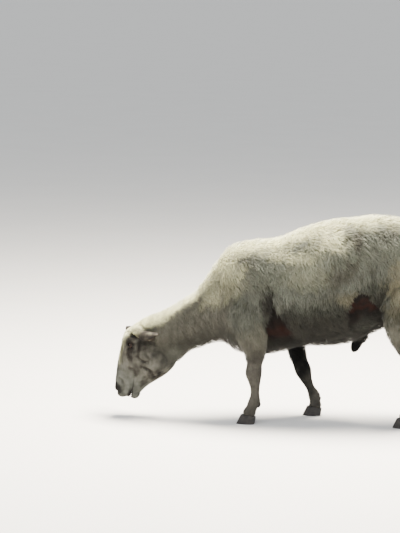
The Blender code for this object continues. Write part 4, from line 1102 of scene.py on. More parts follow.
def markings(points, body, colours):
    """The colour of coat and skin at each point, as linear values.

    A base for each part of the body is graded from the back to the belly, partly as painted light on top and
    painted shade below, and the named patches, among them patches of painted light and of painted shade, are
    laid over it with edges that a ripple breaks up.
    """
    names = body["names"]
    weight = dict(zip(names, body["weight"]))
    along = dict(zip(names, body["along"]))
    turn = dict(zip(names, body["turn"]))
    tone = {name: np.array(getattr(colours, name)) for name in TONES}
    plain = np.tile(tone["side"], (len(points), 1))
    broken = ripple(points, 0.045, 21) * 0.6 + ripple(points, 0.018, 22) * 0.4

    trunk = trunk_tones(points, along["trunk"], turn["trunk"], tone, broken)
    upper_leg = toward(plain, tone["low"], step(*THIGH_GREYS, points[:, 2] + 0.03 * broken))
    trunk, upper_leg = patched([trunk, upper_leg], points, tone, broken)
    head = head_tones(points, along["head"], turn["head"], tone, broken)
    made = weight["trunk"][:, None] * trunk + weight["head"][:, None] * head
    made += weight["tail"][:, None] * toward(plain, tone["straw"], 0.5 + 0.4 * broken)
    for name in LEGS:
        leg = leg_tones(points, name, along[name], turn[name], upper_leg, tone, broken)
        made += weight[name][:, None] * leg

    middle, radii, strength = EAR_ROOT
    gap = stretched_gap(in_profile(points), middle, radii)
    rooted = strength * step(1.4, 0.6, gap + 0.2 * broken) * step(*OUT_OF_THE_POLL, np.abs(points[:, 1]))
    made = toward(made, tone["face"], rooted)
    made = toward(made, tone["ear"], 0.90 * body["ear"])
    made = toward(made, tone["cream"], 0.06 * (step(0.2, 1.2, broken) * body["ear"]))
    # The hollow tone paints the shade under the fleece's overhang on the bare places, and the bare tone
    # their red skin, darkened as painted shade.
    for name, place in (("cup", "cup"), ("hollow", "bare"), ("bare", "red"), ("dark_leg", "sheath")):
        made = toward(made, tone[name], body[place])
    mottled = 0.22 + 0.06 * weight["head"]
    return np.clip(made * (1 + (mottled * broken)[:, None]), 0.0, 1.0)


def paint(mesh, colours):
    """Stores linear colours on the vertices, as the attribute that the materials read."""
    layer = mesh.attributes.new("markings", "FLOAT_COLOR", "POINT")
    values = np.ones((len(colours), 4), np.float32)
    values[:, :3] = colours
    layer.data.foreach_set("color", values.ravel())


def make_skin(scene):
    """One closed skin over the whole body, under the solids' surface by the coat's depth there."""
    settings = scene.sheep_skin
    skin = joined(make_body(settings), "UNION", [make_head(settings)])
    skin.name = skin.data.name = "skin"
    ease = skin.modifiers.new("ease", "SMOOTH")
    ease.factor = 0.35
    ease.iterations = 2
    bake(skin)
    skin.data.polygons.foreach_set("use_smooth", np.ones(len(skin.data.polygons), bool))
    points = vertex_array(skin.data)
    body = reading(points, settings.coat_depth)
    paint(skin.data, markings(points, body, scene.sheep_colours))
    skin.data.materials.clear()
    skin.data.materials.append(hide_material())
    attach(skin, "root")
    eyes = ("eye_left", "eye_right")
    flesh = [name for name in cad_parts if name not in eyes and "hoof" not in name]
    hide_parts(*flesh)


def spread(values, edges, times):
    """Values of vertices, each replaced a few times by the mean of itself and its neighbours."""
    count = len(values)
    near = np.bincount(edges.ravel(), minlength=count)[:, None] + 1.0
    for _ in range(times):
        total = values.copy()
        for column in range(values.shape[1]):
            total[:, column] += np.bincount(edges[:, 0], values[edges[:, 1], column], count)
            total[:, column] += np.bincount(edges[:, 1], values[edges[:, 0], column], count)
        values = total / near
    return values


def surface_of(mesh):
    """Points, triangles, smooth normals and the curvature matrix at the vertices of a mesh.

    The matrix says how the normal changes with place. It is found for each triangle from its three normals,
    then averaged over the vertices.
    """
    mesh.calc_loop_triangles()
    points = vertex_array(mesh)
    faces = np.empty(len(mesh.loop_triangles) * 3, np.int32)
    mesh.loop_triangles.foreach_get("vertices", faces)
    faces = faces.reshape(-1, 3)
    edges = np.empty(len(mesh.edges) * 2, np.int32)
    mesh.edges.foreach_get("vertices", edges)
    edges = edges.reshape(-1, 2)
    normals = unit(spread(vertex_array(mesh, "normal"), edges, 3))
    side = points[faces[:, 1:]] - points[faces[:, :1]]
    change = normals[faces[:, 1:]] - normals[faces[:, :1]]
    gram = np.einsum("fik,fjk->fij", side, side) + np.eye(2) * 1e-10
    bend = np.einsum("fik,fij,fjl->fkl", change, np.linalg.inv(gram), side).reshape(-1, 9)
    size = 0.5 * np.linalg.norm(np.cross(side[:, 0], side[:, 1]), axis=1)
    total = np.zeros((len(points), 9))
    share = np.zeros(len(points))
    for corner in range(3):
        share += np.bincount(faces[:, corner], size, len(points))
        for column in range(9):
            total[:, column] += np.bincount(faces[:, corner], size * bend[:, column], len(points))
    bend = spread(total / np.maximum(share, 1e-12)[:, None], edges, 6)
    return points, faces, normals, bend.reshape(-1, 3, 3), size


def evenly(points, faces, size, density, draw):
    """Roots spread over a surface: even steps of the summed density, along faces in small cubes' order.

    The cubes follow one another by the interleaved bits of their three numbers, so near cubes stay near.
    """
    cube = np.floor((points[faces[:, 0]] + REACH) / CUBE).astype(np.int64)
    code = np.zeros(len(faces), np.int64)
    for bit in range(9):
        for axis in range(3):
            code |= ((cube[:, axis] >> bit) & 1) << (3 * bit + axis)
    order = np.argsort(code, kind="stable")
    wanted = np.cumsum((size * density[faces].mean(axis=1))[order])
    count = int(wanted[-1])
    at = (np.arange(count) + draw.random(count)) * (wanted[-1] / count)
    face = order[np.minimum(np.searchsorted(wanted, at), len(order) - 1)]
    a, b = draw.random(count), draw.random(count)
    over = a + b > 1
    a, b = np.where(over, 1 - a, a), np.where(over, 1 - b, b)
    return face, np.stack([1 - a - b, a, b], axis=1)


def tuft_faces(rings, count):
    """Triangles of many tufts, each with rings of three points from the root up and one point at its tip."""
    faces = []
    for i in range(rings - 1):
        for j in range(3):
            a, b = 3 * i + j, 3 * i + (j + 1) % 3
            faces += [(a, b + 3, b), (a, a + 3, b + 3)]
    last, tip = 3 * (rings - 1), 3 * rings
    faces += [(last + 1, last, tip), (last + 2, last + 1, tip), (last, last + 2, tip), (0, 1, 2)]
    return (np.array(faces)[None] + (np.arange(count) * (tip + 1))[:, None, None]).reshape(-1, 3)


def tuft_mesh(name, roots, normals, lie, bend, sizes, levels, soft):
    """Tufts as three-sided tapering blades.

    A blade's middle line follows the circle that fits the surface along the lie. It rises from just under
    the skin as one minus a falling power, so it is steep at the root and level at its full height. Each
    level holds its place along the blade and its share of the width. Soft is how far the shading follows
    the coat's own surface and not the blade's.
    """
    long, rise, width, sway = sizes
    count = len(roots)
    across = unit(np.cross(lie, normals))
    at = np.array([level[0] for level in levels] + [1.0])
    share = np.array([level[1] for level in levels] + [0.0])
    angle = np.clip(bend[:, None] * long[:, None] * at, -0.9, 1.4)
    curve = np.where(np.abs(bend) < 1e-3, 1e-3, bend)[:, None]
    ahead = np.sin(angle) / curve
    drop = (1 - np.cos(angle)) / curve
    out = normals[:, None] * np.cos(angle)[..., None] + lie[:, None] * np.sin(angle)[..., None]
    height = rise[:, None] * (1 - (1 - at) ** 2.2) - ROOT_DEPTH * (1 - at)
    middle = (
        roots[:, None]
        + lie[:, None] * ahead[..., None]
        - normals[:, None] * drop[..., None]
        + out * height[..., None]
        + across[:, None] * (sway[:, None] * at**1.6)[..., None]
    )
    half = 0.5 * width[:, None] * share
    ring = np.stack(
        [
            middle - across[:, None] * half[..., None],
            middle + across[:, None] * half[..., None],
            middle + out * (RIDGE * half)[..., None],
        ],
        axis=2,
    )
    rings = len(levels)
    points = np.concatenate([ring[:, :rings].reshape(count, rings * 3, 3), middle[:, -1:]], axis=1)
    obj = triangle_mesh(name, points.reshape(-1, 3), tuft_faces(rings, count))
    face_out = np.concatenate([np.repeat(out[:, :rings], 3, axis=1), out[:, -1:]], axis=1).reshape(-1, 3)
    own = vertex_array(obj.data, "normal")
    obj.data.normals_split_custom_set_from_vertices(unit(own * (1 - soft) + face_out * soft).tolist())
    return obj, at


def chart_places(body):
    """Places on a flat unwrap of the skin, where each tube is cut open along its underside and laid out."""
    which = body["weight"].argmax(axis=0)
    n = np.arange(len(which))
    along = body["along"][which, n]
    round_it = body["turn"][which, n] / (2 * math.pi) + 0.5
    corner = np.array([CHARTS[name][0] for name in body["names"]])[which]
    size = np.array([CHARTS[name][1] for name in body["names"]])[which]
    return corner + size * np.stack([along, round_it], axis=1)


def finish_coat(obj, at, rings, spots, colours, along, material):
    """Colours, unwrap and material of a piece of coat, with one colour a tuft, lighter towards its tip."""
    each = 3 * rings + 1
    count = len(spots)
    level = np.append(np.repeat(at[:rings], 3), 1.0)
    glow = 0.93 + 0.10 * level
    tint = colours[:, None] * glow[None, :, None]
    paint(obj.data, np.clip(tint.reshape(-1, 3), 0, 1))
    over = np.append(np.tile([0.0, 1.0, 0.5], rings), 0.5)
    patch = np.stack([over, level], axis=1)
    uv = spots[:, None] + (patch[None] - 0.5) * TUFT_PATCH
    corner = np.empty(len(obj.data.loops), np.int32)
    obj.data.loops.foreach_get("vertex_index", corner)
    layer = obj.data.uv_layers.new(name="OFBake")
    layer.uv.foreach_set("vector", uv.reshape(-1, 2)[corner].astype(np.float32).ravel())
    strand = np.zeros((count, each, 3), np.float32)
    strand[..., 0] = over + along[:, None] * STRAND_STEP
    strand[..., 1] = level
    mark = obj.data.attributes.new("strand", "FLOAT_VECTOR", "POINT")
    mark.data.foreach_set("vector", strand.ravel())
    obj.data.materials.append(material)
    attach(obj, "root")


def on_the_head(points):
    """1 on the head and 0 from the neck on, by the place along the animal."""
    return step(*HEAD_BEGINS, points[:, 0])


def tuft_sizes(coat, kind, points, share, ear):
    """Length and width of tufts: the wool's grow with the coat's depth, the hair's go by their place."""
    if kind == "wool":
        return coat.wool_length * (0.18 + 0.82 * share), coat.wool_width * (0.50 + 0.50 * share)
    scale = hair_scale(points, ear)
    return coat.hair_length * scale, coat.hair_width * scale


def coat_roots(scene, kind, draw):
    """Roots of the wool or of the hair on the finished skin, with all that their tufts need."""
    skin = bpy.data.objects.get("skin")
    if skin is None:
        raise RuntimeError("the skin is made before its coat")
    points, faces, normals, bend, size = surface_of(skin.data)
    depth, coat = scene.sheep_skin.coat_depth, scene.sheep_coat
    here = reading(points, depth)
    share = here["share"] + 0.05 * ripple(points, 0.03, 61) * (here["share"] > 0.02)
    long, wide = tuft_sizes(coat, kind, points, share, here["ear"])
    if kind == "wool":
        density = step(0.06, 0.26, share) * coat.wool_cover / (long * wide)
    else:
        grow = step(0.36, 0.18, share)
        density = grow * coat.hair_cover * (0.7 + 0.9 * on_the_head(points)) / (long * wide)
        density *= 1 - 0.85 * here["bare"]
    for side in (LEFT, RIGHT):
        middle, radius = eye_of(side)
        near = np.linalg.norm(points - middle, axis=1) < radius + ROUND_THE_EYE
        density *= ~(near & (lid_ellipse(points, side) < LID_BARE[0]))
    density *= points[:, 2] > CORONET
    face, corner = evenly(points, faces, size, density, draw)
    pick = faces[face]
    roots = np.einsum("nc,ncx->nx", corner, points[pick])
    normal = unit(np.einsum("nc,ncx->nx", corner, normals[pick]))
    curve = np.einsum("nc,ncxy->nxy", corner, bend[pick])
    return roots, normal, curve, reading(roots, depth)


def hair_scale(points, ear):
    """Size of the hair tufts: smallest on the ears and at the muzzle, larger up the head and legs."""
    low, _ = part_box("head")
    muzzle = step(low[2] + 0.02, low[2] + 0.16, points[:, 2])
    on_head = on_the_head(points)
    legs = 0.85 + 0.35 * step(0.06, 0.20, points[:, 2])
    return ((0.62 + 0.38 * muzzle) * on_head + legs * (1 - on_head)) * (1 - 0.42 * ear)


def partings(points):
    """Where the fleece parts into staples: 1 on the winding lines on which a smooth noise is nought."""
    tall = points * np.array([1.0, 1.0, 0.7])
    wide, fine = ripple(tall, 0.10, 51), ripple(tall, 0.050, 52)
    return np.maximum(np.exp(-((wide / 0.10) ** 2)), 0.7 * np.exp(-((fine / 0.12) ** 2)))


def combed(lie, normal, roots, loose, draw):
    """The lie laid onto the skin, turned by a slow ripple and a little at random for each tuft."""
    flat = unit(lie - normal * np.einsum("ij,ij->i", lie, normal)[:, None])
    across = np.cross(flat, normal)
    turn = sum(most * ripple(roots, size, seed) for most, size, seed in COMBED)
    turn = (turn + draw.normal(0, loose, len(roots)))[:, None]
    return unit(flat * np.cos(turn) + across * np.sin(turn))


def wool_form(depth, roots, share, wide, draw):
    """Rise, lightness and sway of wool tufts, which stand lower at the partings and take painted shade
    there.
    """
    count = len(roots)
    parting = partings(roots) * step(0.5, 0.9, share)
    rise = depth * np.maximum(share, 0.12) * draw.uniform(0.80, 0.98, count)
    rise *= 1 + 0.08 * ripple(roots, 0.035, 43) - 0.34 * parting
    streak = ripple(roots * np.array([1.0, 1.0, 0.25]), 0.020, 41) - 1.2 * parting
    return rise, streak, 0.35 * wide * streak + draw.normal(0, 0.0012, count)


def hair_form(roots, ear, draw):
    """Rise, lightness and sway of tufts of hair, which lie close."""
    count = len(roots)
    rise = HAIR_RISE * hair_scale(roots, ear) * draw.uniform(0.4, 1.3, count)
    return rise, ripple(roots, 0.012, 42), draw.normal(0, 0.0004, count)


def make_coat(scene, kind, names):
    """One kind of coat over the whole skin, parted into pieces from head to tail."""
    coat = scene.sheep_coat
    draw = np.random.default_rng(coat.seed + len(kind))
    roots, normal, curve, body = coat_roots(scene, kind, draw)
    share = body["share"]
    count = len(roots)
    vary = draw.uniform(0.75, 1.15, count)
    lie = combed(body["lie"], normal, roots, WOOL_LOOSE if kind == "wool" else HAIR_LOOSE, draw)
    long, wide = tuft_sizes(coat, kind, roots, share, body["ear"])
    long, wide = long * vary, wide * draw.uniform(0.7, 1.2, count)
    if kind == "wool":
        rise, streak, sway = wool_form(scene.sheep_skin.coat_depth, roots, share, wide, draw)
        levels, soft, material, slot = WOOL_LEVELS, WOOL_SOFT, wool_material(), "fleece"
    else:
        rise, streak, sway = hair_form(roots, body["ear"], draw)
        levels, soft, material, slot = HAIR_LEVELS, HAIR_SOFT, hair_material(), "short_hair"
    bend = np.clip(np.einsum("nx,nxy,ny->n", lie, curve, lie), *BEND_RANGE)
    # Each tuft's tone follows its streak, with painted shade at the partings.
    tone = 1 + 0.09 * streak + draw.normal(0, 0.055, count)
    colours = markings(roots, body, scene.sheep_colours) * tone[:, None]
    colours *= 1 + draw.normal(0, 0.012, (count, 3))
    spots = chart_places(body)
    order = np.argsort(roots[:, 0], kind="stable")
    each = 6 * len(levels) - 2
    if count * each > MOST_TRIANGLES * len(names):
        raise RuntimeError(f"{count} {kind} tufts don't fit in {len(names)} pieces")
    for name, part in zip(names, np.array_split(order, len(names))):
        sizes = (long[part], rise[part], wide[part], sway[part])
        obj, at = tuft_mesh(name, roots[part], normal[part], lie[part], bend[part], sizes, levels, soft)
        finish_coat(obj, at, len(levels), spots[part], colours[part], part % STRANDS, material)
    print(kind, count, "tufts,", count * each, "triangles")


def make_hoof(name, material):
    """A cloven hoof as two claws, each a stack of D-shaped rings that flare from the coronet to the toe.

    The rings drop towards the heel, which is cut under, and swell a little where the horn grew faster.
    """
    low, high = (np.array(v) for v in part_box(name))
    middle, half = (low + high) / 2, (high - low) / 2
    level, inset = (np.array(column)[:, None] for column in zip(*CLAW_RINGS))
    turn = 2 * math.pi * np.arange(40) / 40
    c, s = np.cos(turn)[None], np.sin(turn)[None]
    toe = 1 - 0.40 * np.clip(-c, 0, 1) ** 2.2 * (1 - 0.5 * level)
    heel = np.clip(c, 0, 1)
    fore = half[0] * (1 - 0.22 * level**0.9) * (1 - inset * 0.6)
    wide = half[1] * (0.98 - 0.06 * level)
    growth = 1 + 0.006 * np.sin(level * 38) * (level < 0.9)
    x = middle[0] + (level * 0.22 - 0.02) * half[0] + fore * growth * c
    x = x - 0.12 * half[0] * heel * (1 - level)
    z = level * high[2] * (1 - 0.24 * heel**1.5)
    grids = []
    for side in (LEFT, RIGHT):
        bulge = np.where(s * side > 0, np.abs(s) ** 0.9 * 0.5, np.abs(s) ** 0.7 * 0.46)
        inner = 0.5 * wide + np.sign(s * side) * bulge * wide * (1 - inset * 0.5)
        y = middle[1] + side * (CLEFT * half[1] + inner * toe * growth)
        grids.append(np.stack([x, y, z], axis=2))
    hoof = triangle_mesh("claws_" + name, *closed_tubes(grids))
    hoof.data.materials.append(material)
    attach(hoof, "root")
    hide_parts(name)


def make_dewclaws(material):
    """Two small horny buds behind each fetlock."""
    off, radii, lean = DEWCLAW
    grids = []
    for stations, side in LEGS.values():
        x, z, y = stations["fetlock"][:3]
        for way in (-1, 1):
            place = (x + off[0] - ORIGIN_X, side * y + way * off[1], z + off[2])
            grids.append(ball_rings(place, radii, about("Y", lean), 20, 12))
    buds = triangle_mesh("dewclaws", *closed_tubes(grids))
    buds.data.materials.append(material)
    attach(buds, "root")


def make_eye(name, side, material):
    """An eyeball with a raised cornea: a ball whose radius grows by a cosine near the gaze."""
    middle, radius = eye_of(side)
    way, polar = unit_ball(56, 40)
    bulge = CORNEA_RISE * np.cos(np.clip(polar / CORNEA_EDGE, 0, 1) * math.pi / 2) ** 1.5
    reach = (radius - EYEBALL_INSET + bulge)[:, None, None]
    gaze = unit(np.array([GAZE[0], side * 1.0, GAZE[1]]))
    slit = about("Y", EYE_SLANT * PUPIL_SLANT) @ np.array([1.0, 0.0, 0.0])
    slit = unit(slit - gaze * slit.dot(gaze))
    turn = np.stack([slit, np.cross(gaze, slit), gaze])
    eye = triangle_mesh("eyeball_" + name, *closed_tubes([middle + (way * reach) @ turn]))
    points = vertex_array(eye.data)
    mark = eye.data.attributes.new("gaze", "FLOAT_VECTOR", "POINT")
    mark.data.foreach_set("vector", (unit(points - middle) @ turn.T).astype(np.float32).ravel())
    eye.data.materials.append(material)
    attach(eye, "root")
    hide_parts("eye_" + name)


def add_node(tree, kind, values=None, links=None, **settings):
    """Adds a node with its settings, the values of its sockets and the links to its inputs."""
    made = tree.nodes.new(kind)
    for name, value in settings.items():
        setattr(made, name, value)
    for socket, value in (values or {}).items():
        made.inputs[socket].default_value = value
    for socket, source in (links or {}).items():
        tree.links.new(source, made.inputs[socket])
    return made


def new_material(name, **values):
    """A Principled material, its tree and its shader, with the values that are the same all over."""
    made = bpy.data.materials.new(name)
    made.use_nodes = True
    tree = made.node_tree
    shader = tree.nodes["Principled BSDF"]
    for socket, value in values.items():
        shader.inputs[socket.replace("_", " ")].default_value = value
    return made, tree, shader


def mottle(tree, scale, detail, low, high):
    """Unevenness from noise on Object coordinates: the place, the noise, and a factor from its middle."""
    where = add_node(tree, "ShaderNodeTexCoord").outputs["Object"]
    noise = add_node(tree, "ShaderNodeTexNoise", {"Scale": scale, "Detail": detail}, {"Vector": where})
    ends = {"From Min": 0.3, "From Max": 0.7, "To Min": low, "To Max": high}
    factor = add_node(tree, "ShaderNodeMapRange", ends, {"Value": noise.outputs["Fac"]})
    return where, noise.outputs["Fac"], factor.outputs["Result"]


def scaled(tree, tone, factor):
    """A colour times a factor."""
    made = add_node(tree, "ShaderNodeVectorMath", None, {0: tone}, operation="SCALE")
    tree.links.new(factor, made.inputs["Scale"])
    return made.outputs["Vector"]


def marked(tree, shader, factor):
    """The markings that are stored on the mesh, times a factor, as the base colour."""
    stored = add_node(tree, "ShaderNodeAttribute", attribute_name="markings")
    tone = scaled(tree, stored.outputs["Color"], factor)
    tree.links.new(tone, shader.inputs["Base Color"])
    return tone


def wool_material():
    """Matt, greasy wool fibres in tufts: about six crimped strands across each, up to 0.5 mm wide."""
    made, tree, shader = new_material("wool_fibre", Roughness=0.92, IOR=1.54, Specular_IOR_Level=0.25)
    shader.inputs["Sheen Weight"].default_value = 0.15
    shader.inputs["Sheen Roughness"].default_value = 0.6
    _, _, shade = mottle(tree, 160.0, 3.0, 0.86, 1.12)
    strand = add_node(tree, "ShaderNodeAttribute", attribute_name="strand")
    fibres = add_node(
        tree,
        "ShaderNodeTexWave",
        {"Scale": 1.9, "Distortion": 2.2, "Detail": 1.0, "Detail Scale": 1.4},
        {"Vector": strand.outputs["Vector"]},
        bands_direction="X",
    )
    line = add_node(
        tree, "ShaderNodeMapRange", {"To Min": 0.80, "To Max": 1.12}, {"Value": fibres.outputs["Fac"]}
    )
    line = line.outputs["Result"]
    both = add_node(tree, "ShaderNodeMath", None, {0: shade, 1: line}, operation="MULTIPLY")
    tone = marked(tree, shader, both.outputs[0])
    bump = add_node(
        tree, "ShaderNodeBump", {"Strength": 0.35, "Distance": 0.0006}, {"Height": fibres.outputs["Fac"]}
    )
    tree.links.new(bump.outputs["Normal"], shader.inputs["Normal"])
    lets_through(tree, shader, tone, 0.45)
    return made


def lets_through(tree, shader, tone, share):
    """A share of the light let through, in the coat's own colour, as thin tufts of fibre do."""
    thin = add_node(tree, "ShaderNodeBsdfTranslucent", None, {"Color": tone})
    both = add_node(
        tree, "ShaderNodeMixShader", {"Fac": share}, {1: shader.outputs["BSDF"], 2: thin.outputs["BSDF"]}
    )
    tree.links.new(both.outputs["Shader"], tree.nodes["Material Output"].inputs["Surface"])


def hair_material():
    """Short smooth hair: less matt than wool, with a soft gloss."""
    made, tree, shader = new_material("short_hair_fibre", Roughness=0.72, IOR=1.55, Specular_IOR_Level=0.2)
    _, _, shade = mottle(tree, 240.0, 2.0, 0.84, 1.14)
    marked(tree, shader, shade)
    return made


def hide_material():
    """Skin under short hair: fine hair as a bump about 1.5 mm across, over pores and small wrinkles."""
    made, tree, shader = new_material("haired_skin", Roughness=0.74, IOR=1.42, Specular_IOR_Level=0.2)
    where, spots, shade = mottle(tree, 70.0, 5.0, 0.78, 1.1)
    marked(tree, shader, shade)
    stretch = add_node(tree, "ShaderNodeMapping", {"Scale": (1.0, 1.0, 0.30)}, {"Vector": where})
    fur = add_node(
        tree, "ShaderNodeTexNoise", {"Scale": 620.0, "Detail": 2.0}, {"Vector": stretch.outputs["Vector"]}
    )
    folds = add_node(tree, "ShaderNodeBump", {"Strength": 0.5, "Distance": 0.0012}, {"Height": spots})
    bump = add_node(
        tree,
        "ShaderNodeBump",
        {"Strength": 0.6, "Distance": 0.0008},
        {"Height": fur.outputs["Fac"], "Normal": folds.outputs["Normal"]},
    )
    tree.links.new(bump.outputs["Normal"], shader.inputs["Normal"])
    return made


def two_tones(tree, factor, low, high):
    """A ramp between two colours, each as (place on the ramp, linear colour)."""
    ramp = add_node(tree, "ShaderNodeValToRGB", None, {"Fac": factor})
    for element, (place, colour_there) in zip(ramp.color_ramp.elements, (low, high)):
        element.position = place
        element.color = (*colour_there, 1.0)
    return ramp.outputs["Color"]


def horn_material(colours):
    """Hoof horn, a dull keratin grown in rings about 7 mm apart and stained in clouds about 1 cm wide."""
    made, tree, shader = new_material("hoof_keratin", IOR=1.54)
    where, dirt, rough = mottle(tree, 90.0, 4.0, 0.42, 0.66)
    rings = add_node(
        tree,
        "ShaderNodeTexWave",
        {"Scale": 42.0, "Distortion": 1.6, "Detail": 2.0, "Detail Scale": 2.0},
        {"Vector": where},
        bands_direction="Z",
    )
    base = np.array(colours.horn)
    tone = two_tones(tree, dirt, (0.35, base * 0.6), (0.68, np.clip(base * 1.5, 0, 1)))
    tree.links.new(tone, shader.inputs["Base Color"])
    tree.links.new(rough, shader.inputs["Roughness"])
    bump = add_node(
        tree, "ShaderNodeBump", {"Strength": 0.4, "Distance": 0.0005}, {"Height": rings.outputs["Fac"]}
    )
    tree.links.new(bump.outputs["Normal"], shader.inputs["Normal"])
    return made


def eye_material(colours):
    """A wet eye: brown iris with a level slit pupil and a dark rim, under a clear glossy film.

    The pupil is a superellipse of the fourth power in the plane across the gaze. Its half length and half
    height are shares of the eye's radius.
    """
    made, tree, shader = new_material("wet_eye", Roughness=0.20, IOR=1.38, Coat_Weight=0.35)
    shader.inputs["Coat Roughness"].default_value = 0.03
    gaze = add_node(tree, "ShaderNodeAttribute", attribute_name="gaze")
    split = add_node(tree, "ShaderNodeSeparateXYZ", None, {"Vector": gaze.outputs["Vector"]})
    powers = []
    for axis, half in (("X", 0.50), ("Y", 0.17)):
        share = add_node(tree, "ShaderNodeMath", {1: half}, {0: split.outputs[axis]}, operation="DIVIDE")
        powers.append(add_node(tree, "ShaderNodeMath", {1: 4.0}, {0: share.outputs[0]}, operation="POWER"))
    slit = add_node(
        tree, "ShaderNodeMath", None, {0: powers[0].outputs[0], 1: powers[1].outputs[0]}, operation="ADD"
    )
    rays = add_node(
        tree, "ShaderNodeTexNoise", {"Scale": 9.0, "Detail": 4.0}, {"Vector": gaze.outputs["Vector"]}
    )
    rim = two_tones(tree, split.outputs["Z"], (0.60, (0.010, 0.008, 0.006)), (0.74, colours.iris))
    fleck = add_node(
        tree, "ShaderNodeMapRange", {"To Min": 0.55, "To Max": 1.3}, {"Value": rays.outputs["Fac"]}
    )
    iris = scaled(tree, rim, fleck.outputs["Result"])
    inside = add_node(
        tree,
        "ShaderNodeMapRange",
        {"From Min": 0.8, "From Max": 1.2, "To Min": 0.03, "To Max": 1.0},
        {"Value": slit.outputs[0]},
    )
    pupil = scaled(tree, iris, inside.outputs["Result"])
    tree.links.new(pupil, shader.inputs["Base Color"])
    return made


def floor_material(tone):
    """Matt painted board, with a faint unevenness in its paint."""
    made, tree, shader = new_material("painted_floor", Roughness=0.85, IOR=1.5)
    where = add_node(tree, "ShaderNodeTexCoord")
    cloud = add_node(
        tree, "ShaderNodeTexNoise", {"Scale": 2.0, "Detail": 3.0}, {"Vector": where.outputs["Object"]}
    )
    base = np.array(tone)
    paint_tone = two_tones(tree, cloud.outputs["Fac"], (0.0, base * 0.97), (1.0, np.clip(base * 1.03, 0, 1)))
    tree.links.new(paint_tone, shader.inputs["Base Color"])
    return made


def make_floor(settings):
    """A level sheet under the animal, large enough to fill the picture."""
    corners = FLOOR_HALF * np.array([[-1, -1, 0], [1, -1, 0], [1, 1, 0], [-1, 1, 0]])
    floor = triangle_mesh("studio_floor", corners, np.array([[0, 1, 2], [0, 2, 3]]))
    floor.data.materials.append(floor_material(settings.floor))
    floor.visible_glossy = False


def add_light(name, place, aim, size, code, power):
    """A soft rectangular light, returned for its settings."""
    data = bpy.data.lights.new(name, "AREA")
    data.shape = "RECTANGLE"
    data.size, data.size_y = size
    data.energy = power
    data.color = linear(code)
    lamp = bpy.data.objects.new(name, data)
    lamp.location = place
    lamp.rotation_euler = (Vector(aim) - Vector(place)).to_track_quat("-Z", "Y").to_euler()
    bpy.context.scene.collection.objects.link(lamp)
    return lamp


def make_camera():
    """The camera at the photograph's viewing angle, its picture's long side on the sensor's width."""
    turn, lift = math.radians(CAMERA_AZIMUTH), math.radians(CAMERA_ELEVATION)
    way = Vector((math.sin(turn) * math.cos(lift), -math.cos(turn) * math.cos(lift), math.sin(lift)))
    data = bpy.data.cameras.new("camera")
    data.sensor_width = SENSOR
    tall = VIEW_WIDTH * PICTURE[1] / PICTURE[0]
    data.lens = SENSOR * CAMERA_DISTANCE / tall
    data.clip_end = 2 * FLOOR_HALF
    camera = bpy.data.objects.new("camera", data)
    camera.location = Vector(CAMERA_AIM) + way * CAMERA_DISTANCE
    camera.rotation_euler = (-way).to_track_quat("-Z", "Y").to_euler()
    bpy.context.scene.collection.objects.link(camera)
    bpy.context.scene.camera = camera


class SHEEP_OT_skin(bpy.types.Operator):
    """Make the one skin of head, neck, trunk, legs, ears and tail"""

    bl_idname = "sheep.skin"
    bl_label = "Skin"

    def execute(self, context):
        make_skin(context.scene)
        return {"FINISHED"}


class SHEEP_OT_eyes(bpy.types.Operator):
    """Make both eyes"""

    bl_idname = "sheep.eyes"
    bl_label = "Eyes"

    def execute(self, context):
        material = eye_material(context.scene.sheep_colours)
        for word, side in (("left", LEFT), ("right", RIGHT)):
            make_eye(word, side, material)
        return {"FINISHED"}


class SHEEP_OT_hooves(bpy.types.Operator):
    """Make the four cloven hooves and the dewclaws"""

    bl_idname = "sheep.hooves"
    bl_label = "Hooves"

    def execute(self, context):
        material = horn_material(context.scene.sheep_colours)
        for name in ("fore_hoof_left", "fore_hoof_right", "hind_hoof_left", "hind_hoof_right"):
            make_hoof(name, material)
        make_dewclaws(material)
        return {"FINISHED"}


class SHEEP_OT_fleece(bpy.types.Operator):
    """Make the wool of the fleece, as tufts over the skin"""

    bl_idname = "sheep.fleece"
    bl_label = "Fleece"

    def execute(self, context):
        make_coat(context.scene, "wool", [f"fleece_{i}" for i in range(1, 7)])
        return {"FINISHED"}


class SHEEP_OT_hair(bpy.types.Operator):
    """Make the short hair of the face, the ears and the legs"""

    bl_idname = "sheep.hair"
    bl_label = "Short hair"

    def execute(self, context):
        make_coat(context.scene, "hair", [f"hair_{i}" for i in range(1, 4)])
        return {"FINISHED"}


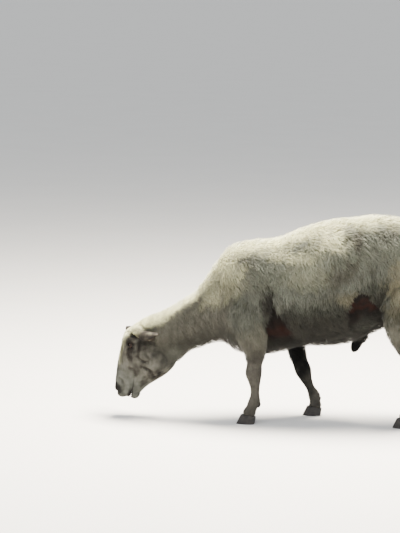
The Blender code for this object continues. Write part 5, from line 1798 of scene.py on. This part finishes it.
class SHEEP_OT_stage(bpy.types.Operator):
    """Make the floor, the lights and the camera"""

    bl_idname = "sheep.stage"
    bl_label = "Stage"

    def execute(self, context):
        settings = context.scene.sheep_stage
        make_floor(settings)
        add_light("overhead", *OVERHEAD, settings.key)
        add_light("by_the_camera", *BY_THE_CAMERA, settings.fill).visible_glossy = False
        world = bpy.data.worlds.new("studio")
        world.use_nodes = True
        sky = world.node_tree.nodes["Background"]
        sky.inputs["Color"].default_value = (*linear(SKY), 1.0)
        sky.inputs["Strength"].default_value = 1.0
        context.scene.world = world
        make_camera()
        return {"FINISHED"}


OPERATORS = (SHEEP_OT_skin, SHEEP_OT_eyes, SHEEP_OT_hooves, SHEEP_OT_fleece, SHEEP_OT_hair, SHEEP_OT_stage)
SETTINGS = {
    "sheep_skin": SheepSkinSettings,
    "sheep_coat": SheepCoatSettings,
    "sheep_colours": SheepColourSettings,
    "sheep_stage": SheepStageSettings,
}


class SHEEP_PT_panel(bpy.types.Panel):
    """The sheep's sizes, colours and pieces in the sidebar"""

    bl_idname = "SHEEP_PT_panel"
    bl_label = "Grazing Sheep"
    bl_space_type = "VIEW_3D"
    bl_region_type = "UI"
    bl_category = "Sheep"

    def draw(self, context):
        layout = self.layout
        for name, kind in SETTINGS.items():
            box = layout.box()
            for field in kind.__annotations__:
                box.prop(getattr(context.scene, name), field)
        for operator in OPERATORS:
            layout.operator(operator.bl_idname)


CLASSES = (*SETTINGS.values(), *OPERATORS, SHEEP_PT_panel)


def register():
    for cls in CLASSES:
        bpy.utils.register_class(cls)
    for name, kind in SETTINGS.items():
        setattr(bpy.types.Scene, name, PointerProperty(type=kind))


def unregister():
    for name in SETTINGS:
        delattr(bpy.types.Scene, name)
    for cls in reversed(CLASSES):
        bpy.utils.unregister_class(cls)


def main():
    """Makes every piece in order."""
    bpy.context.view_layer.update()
    register()
    bpy.ops.sheep.skin()
    bpy.ops.sheep.eyes()
    bpy.ops.sheep.hooves()
    bpy.ops.sheep.fleece()
    bpy.ops.sheep.hair()
    bpy.ops.sheep.stage()


if __name__ == "__main__":
    main()
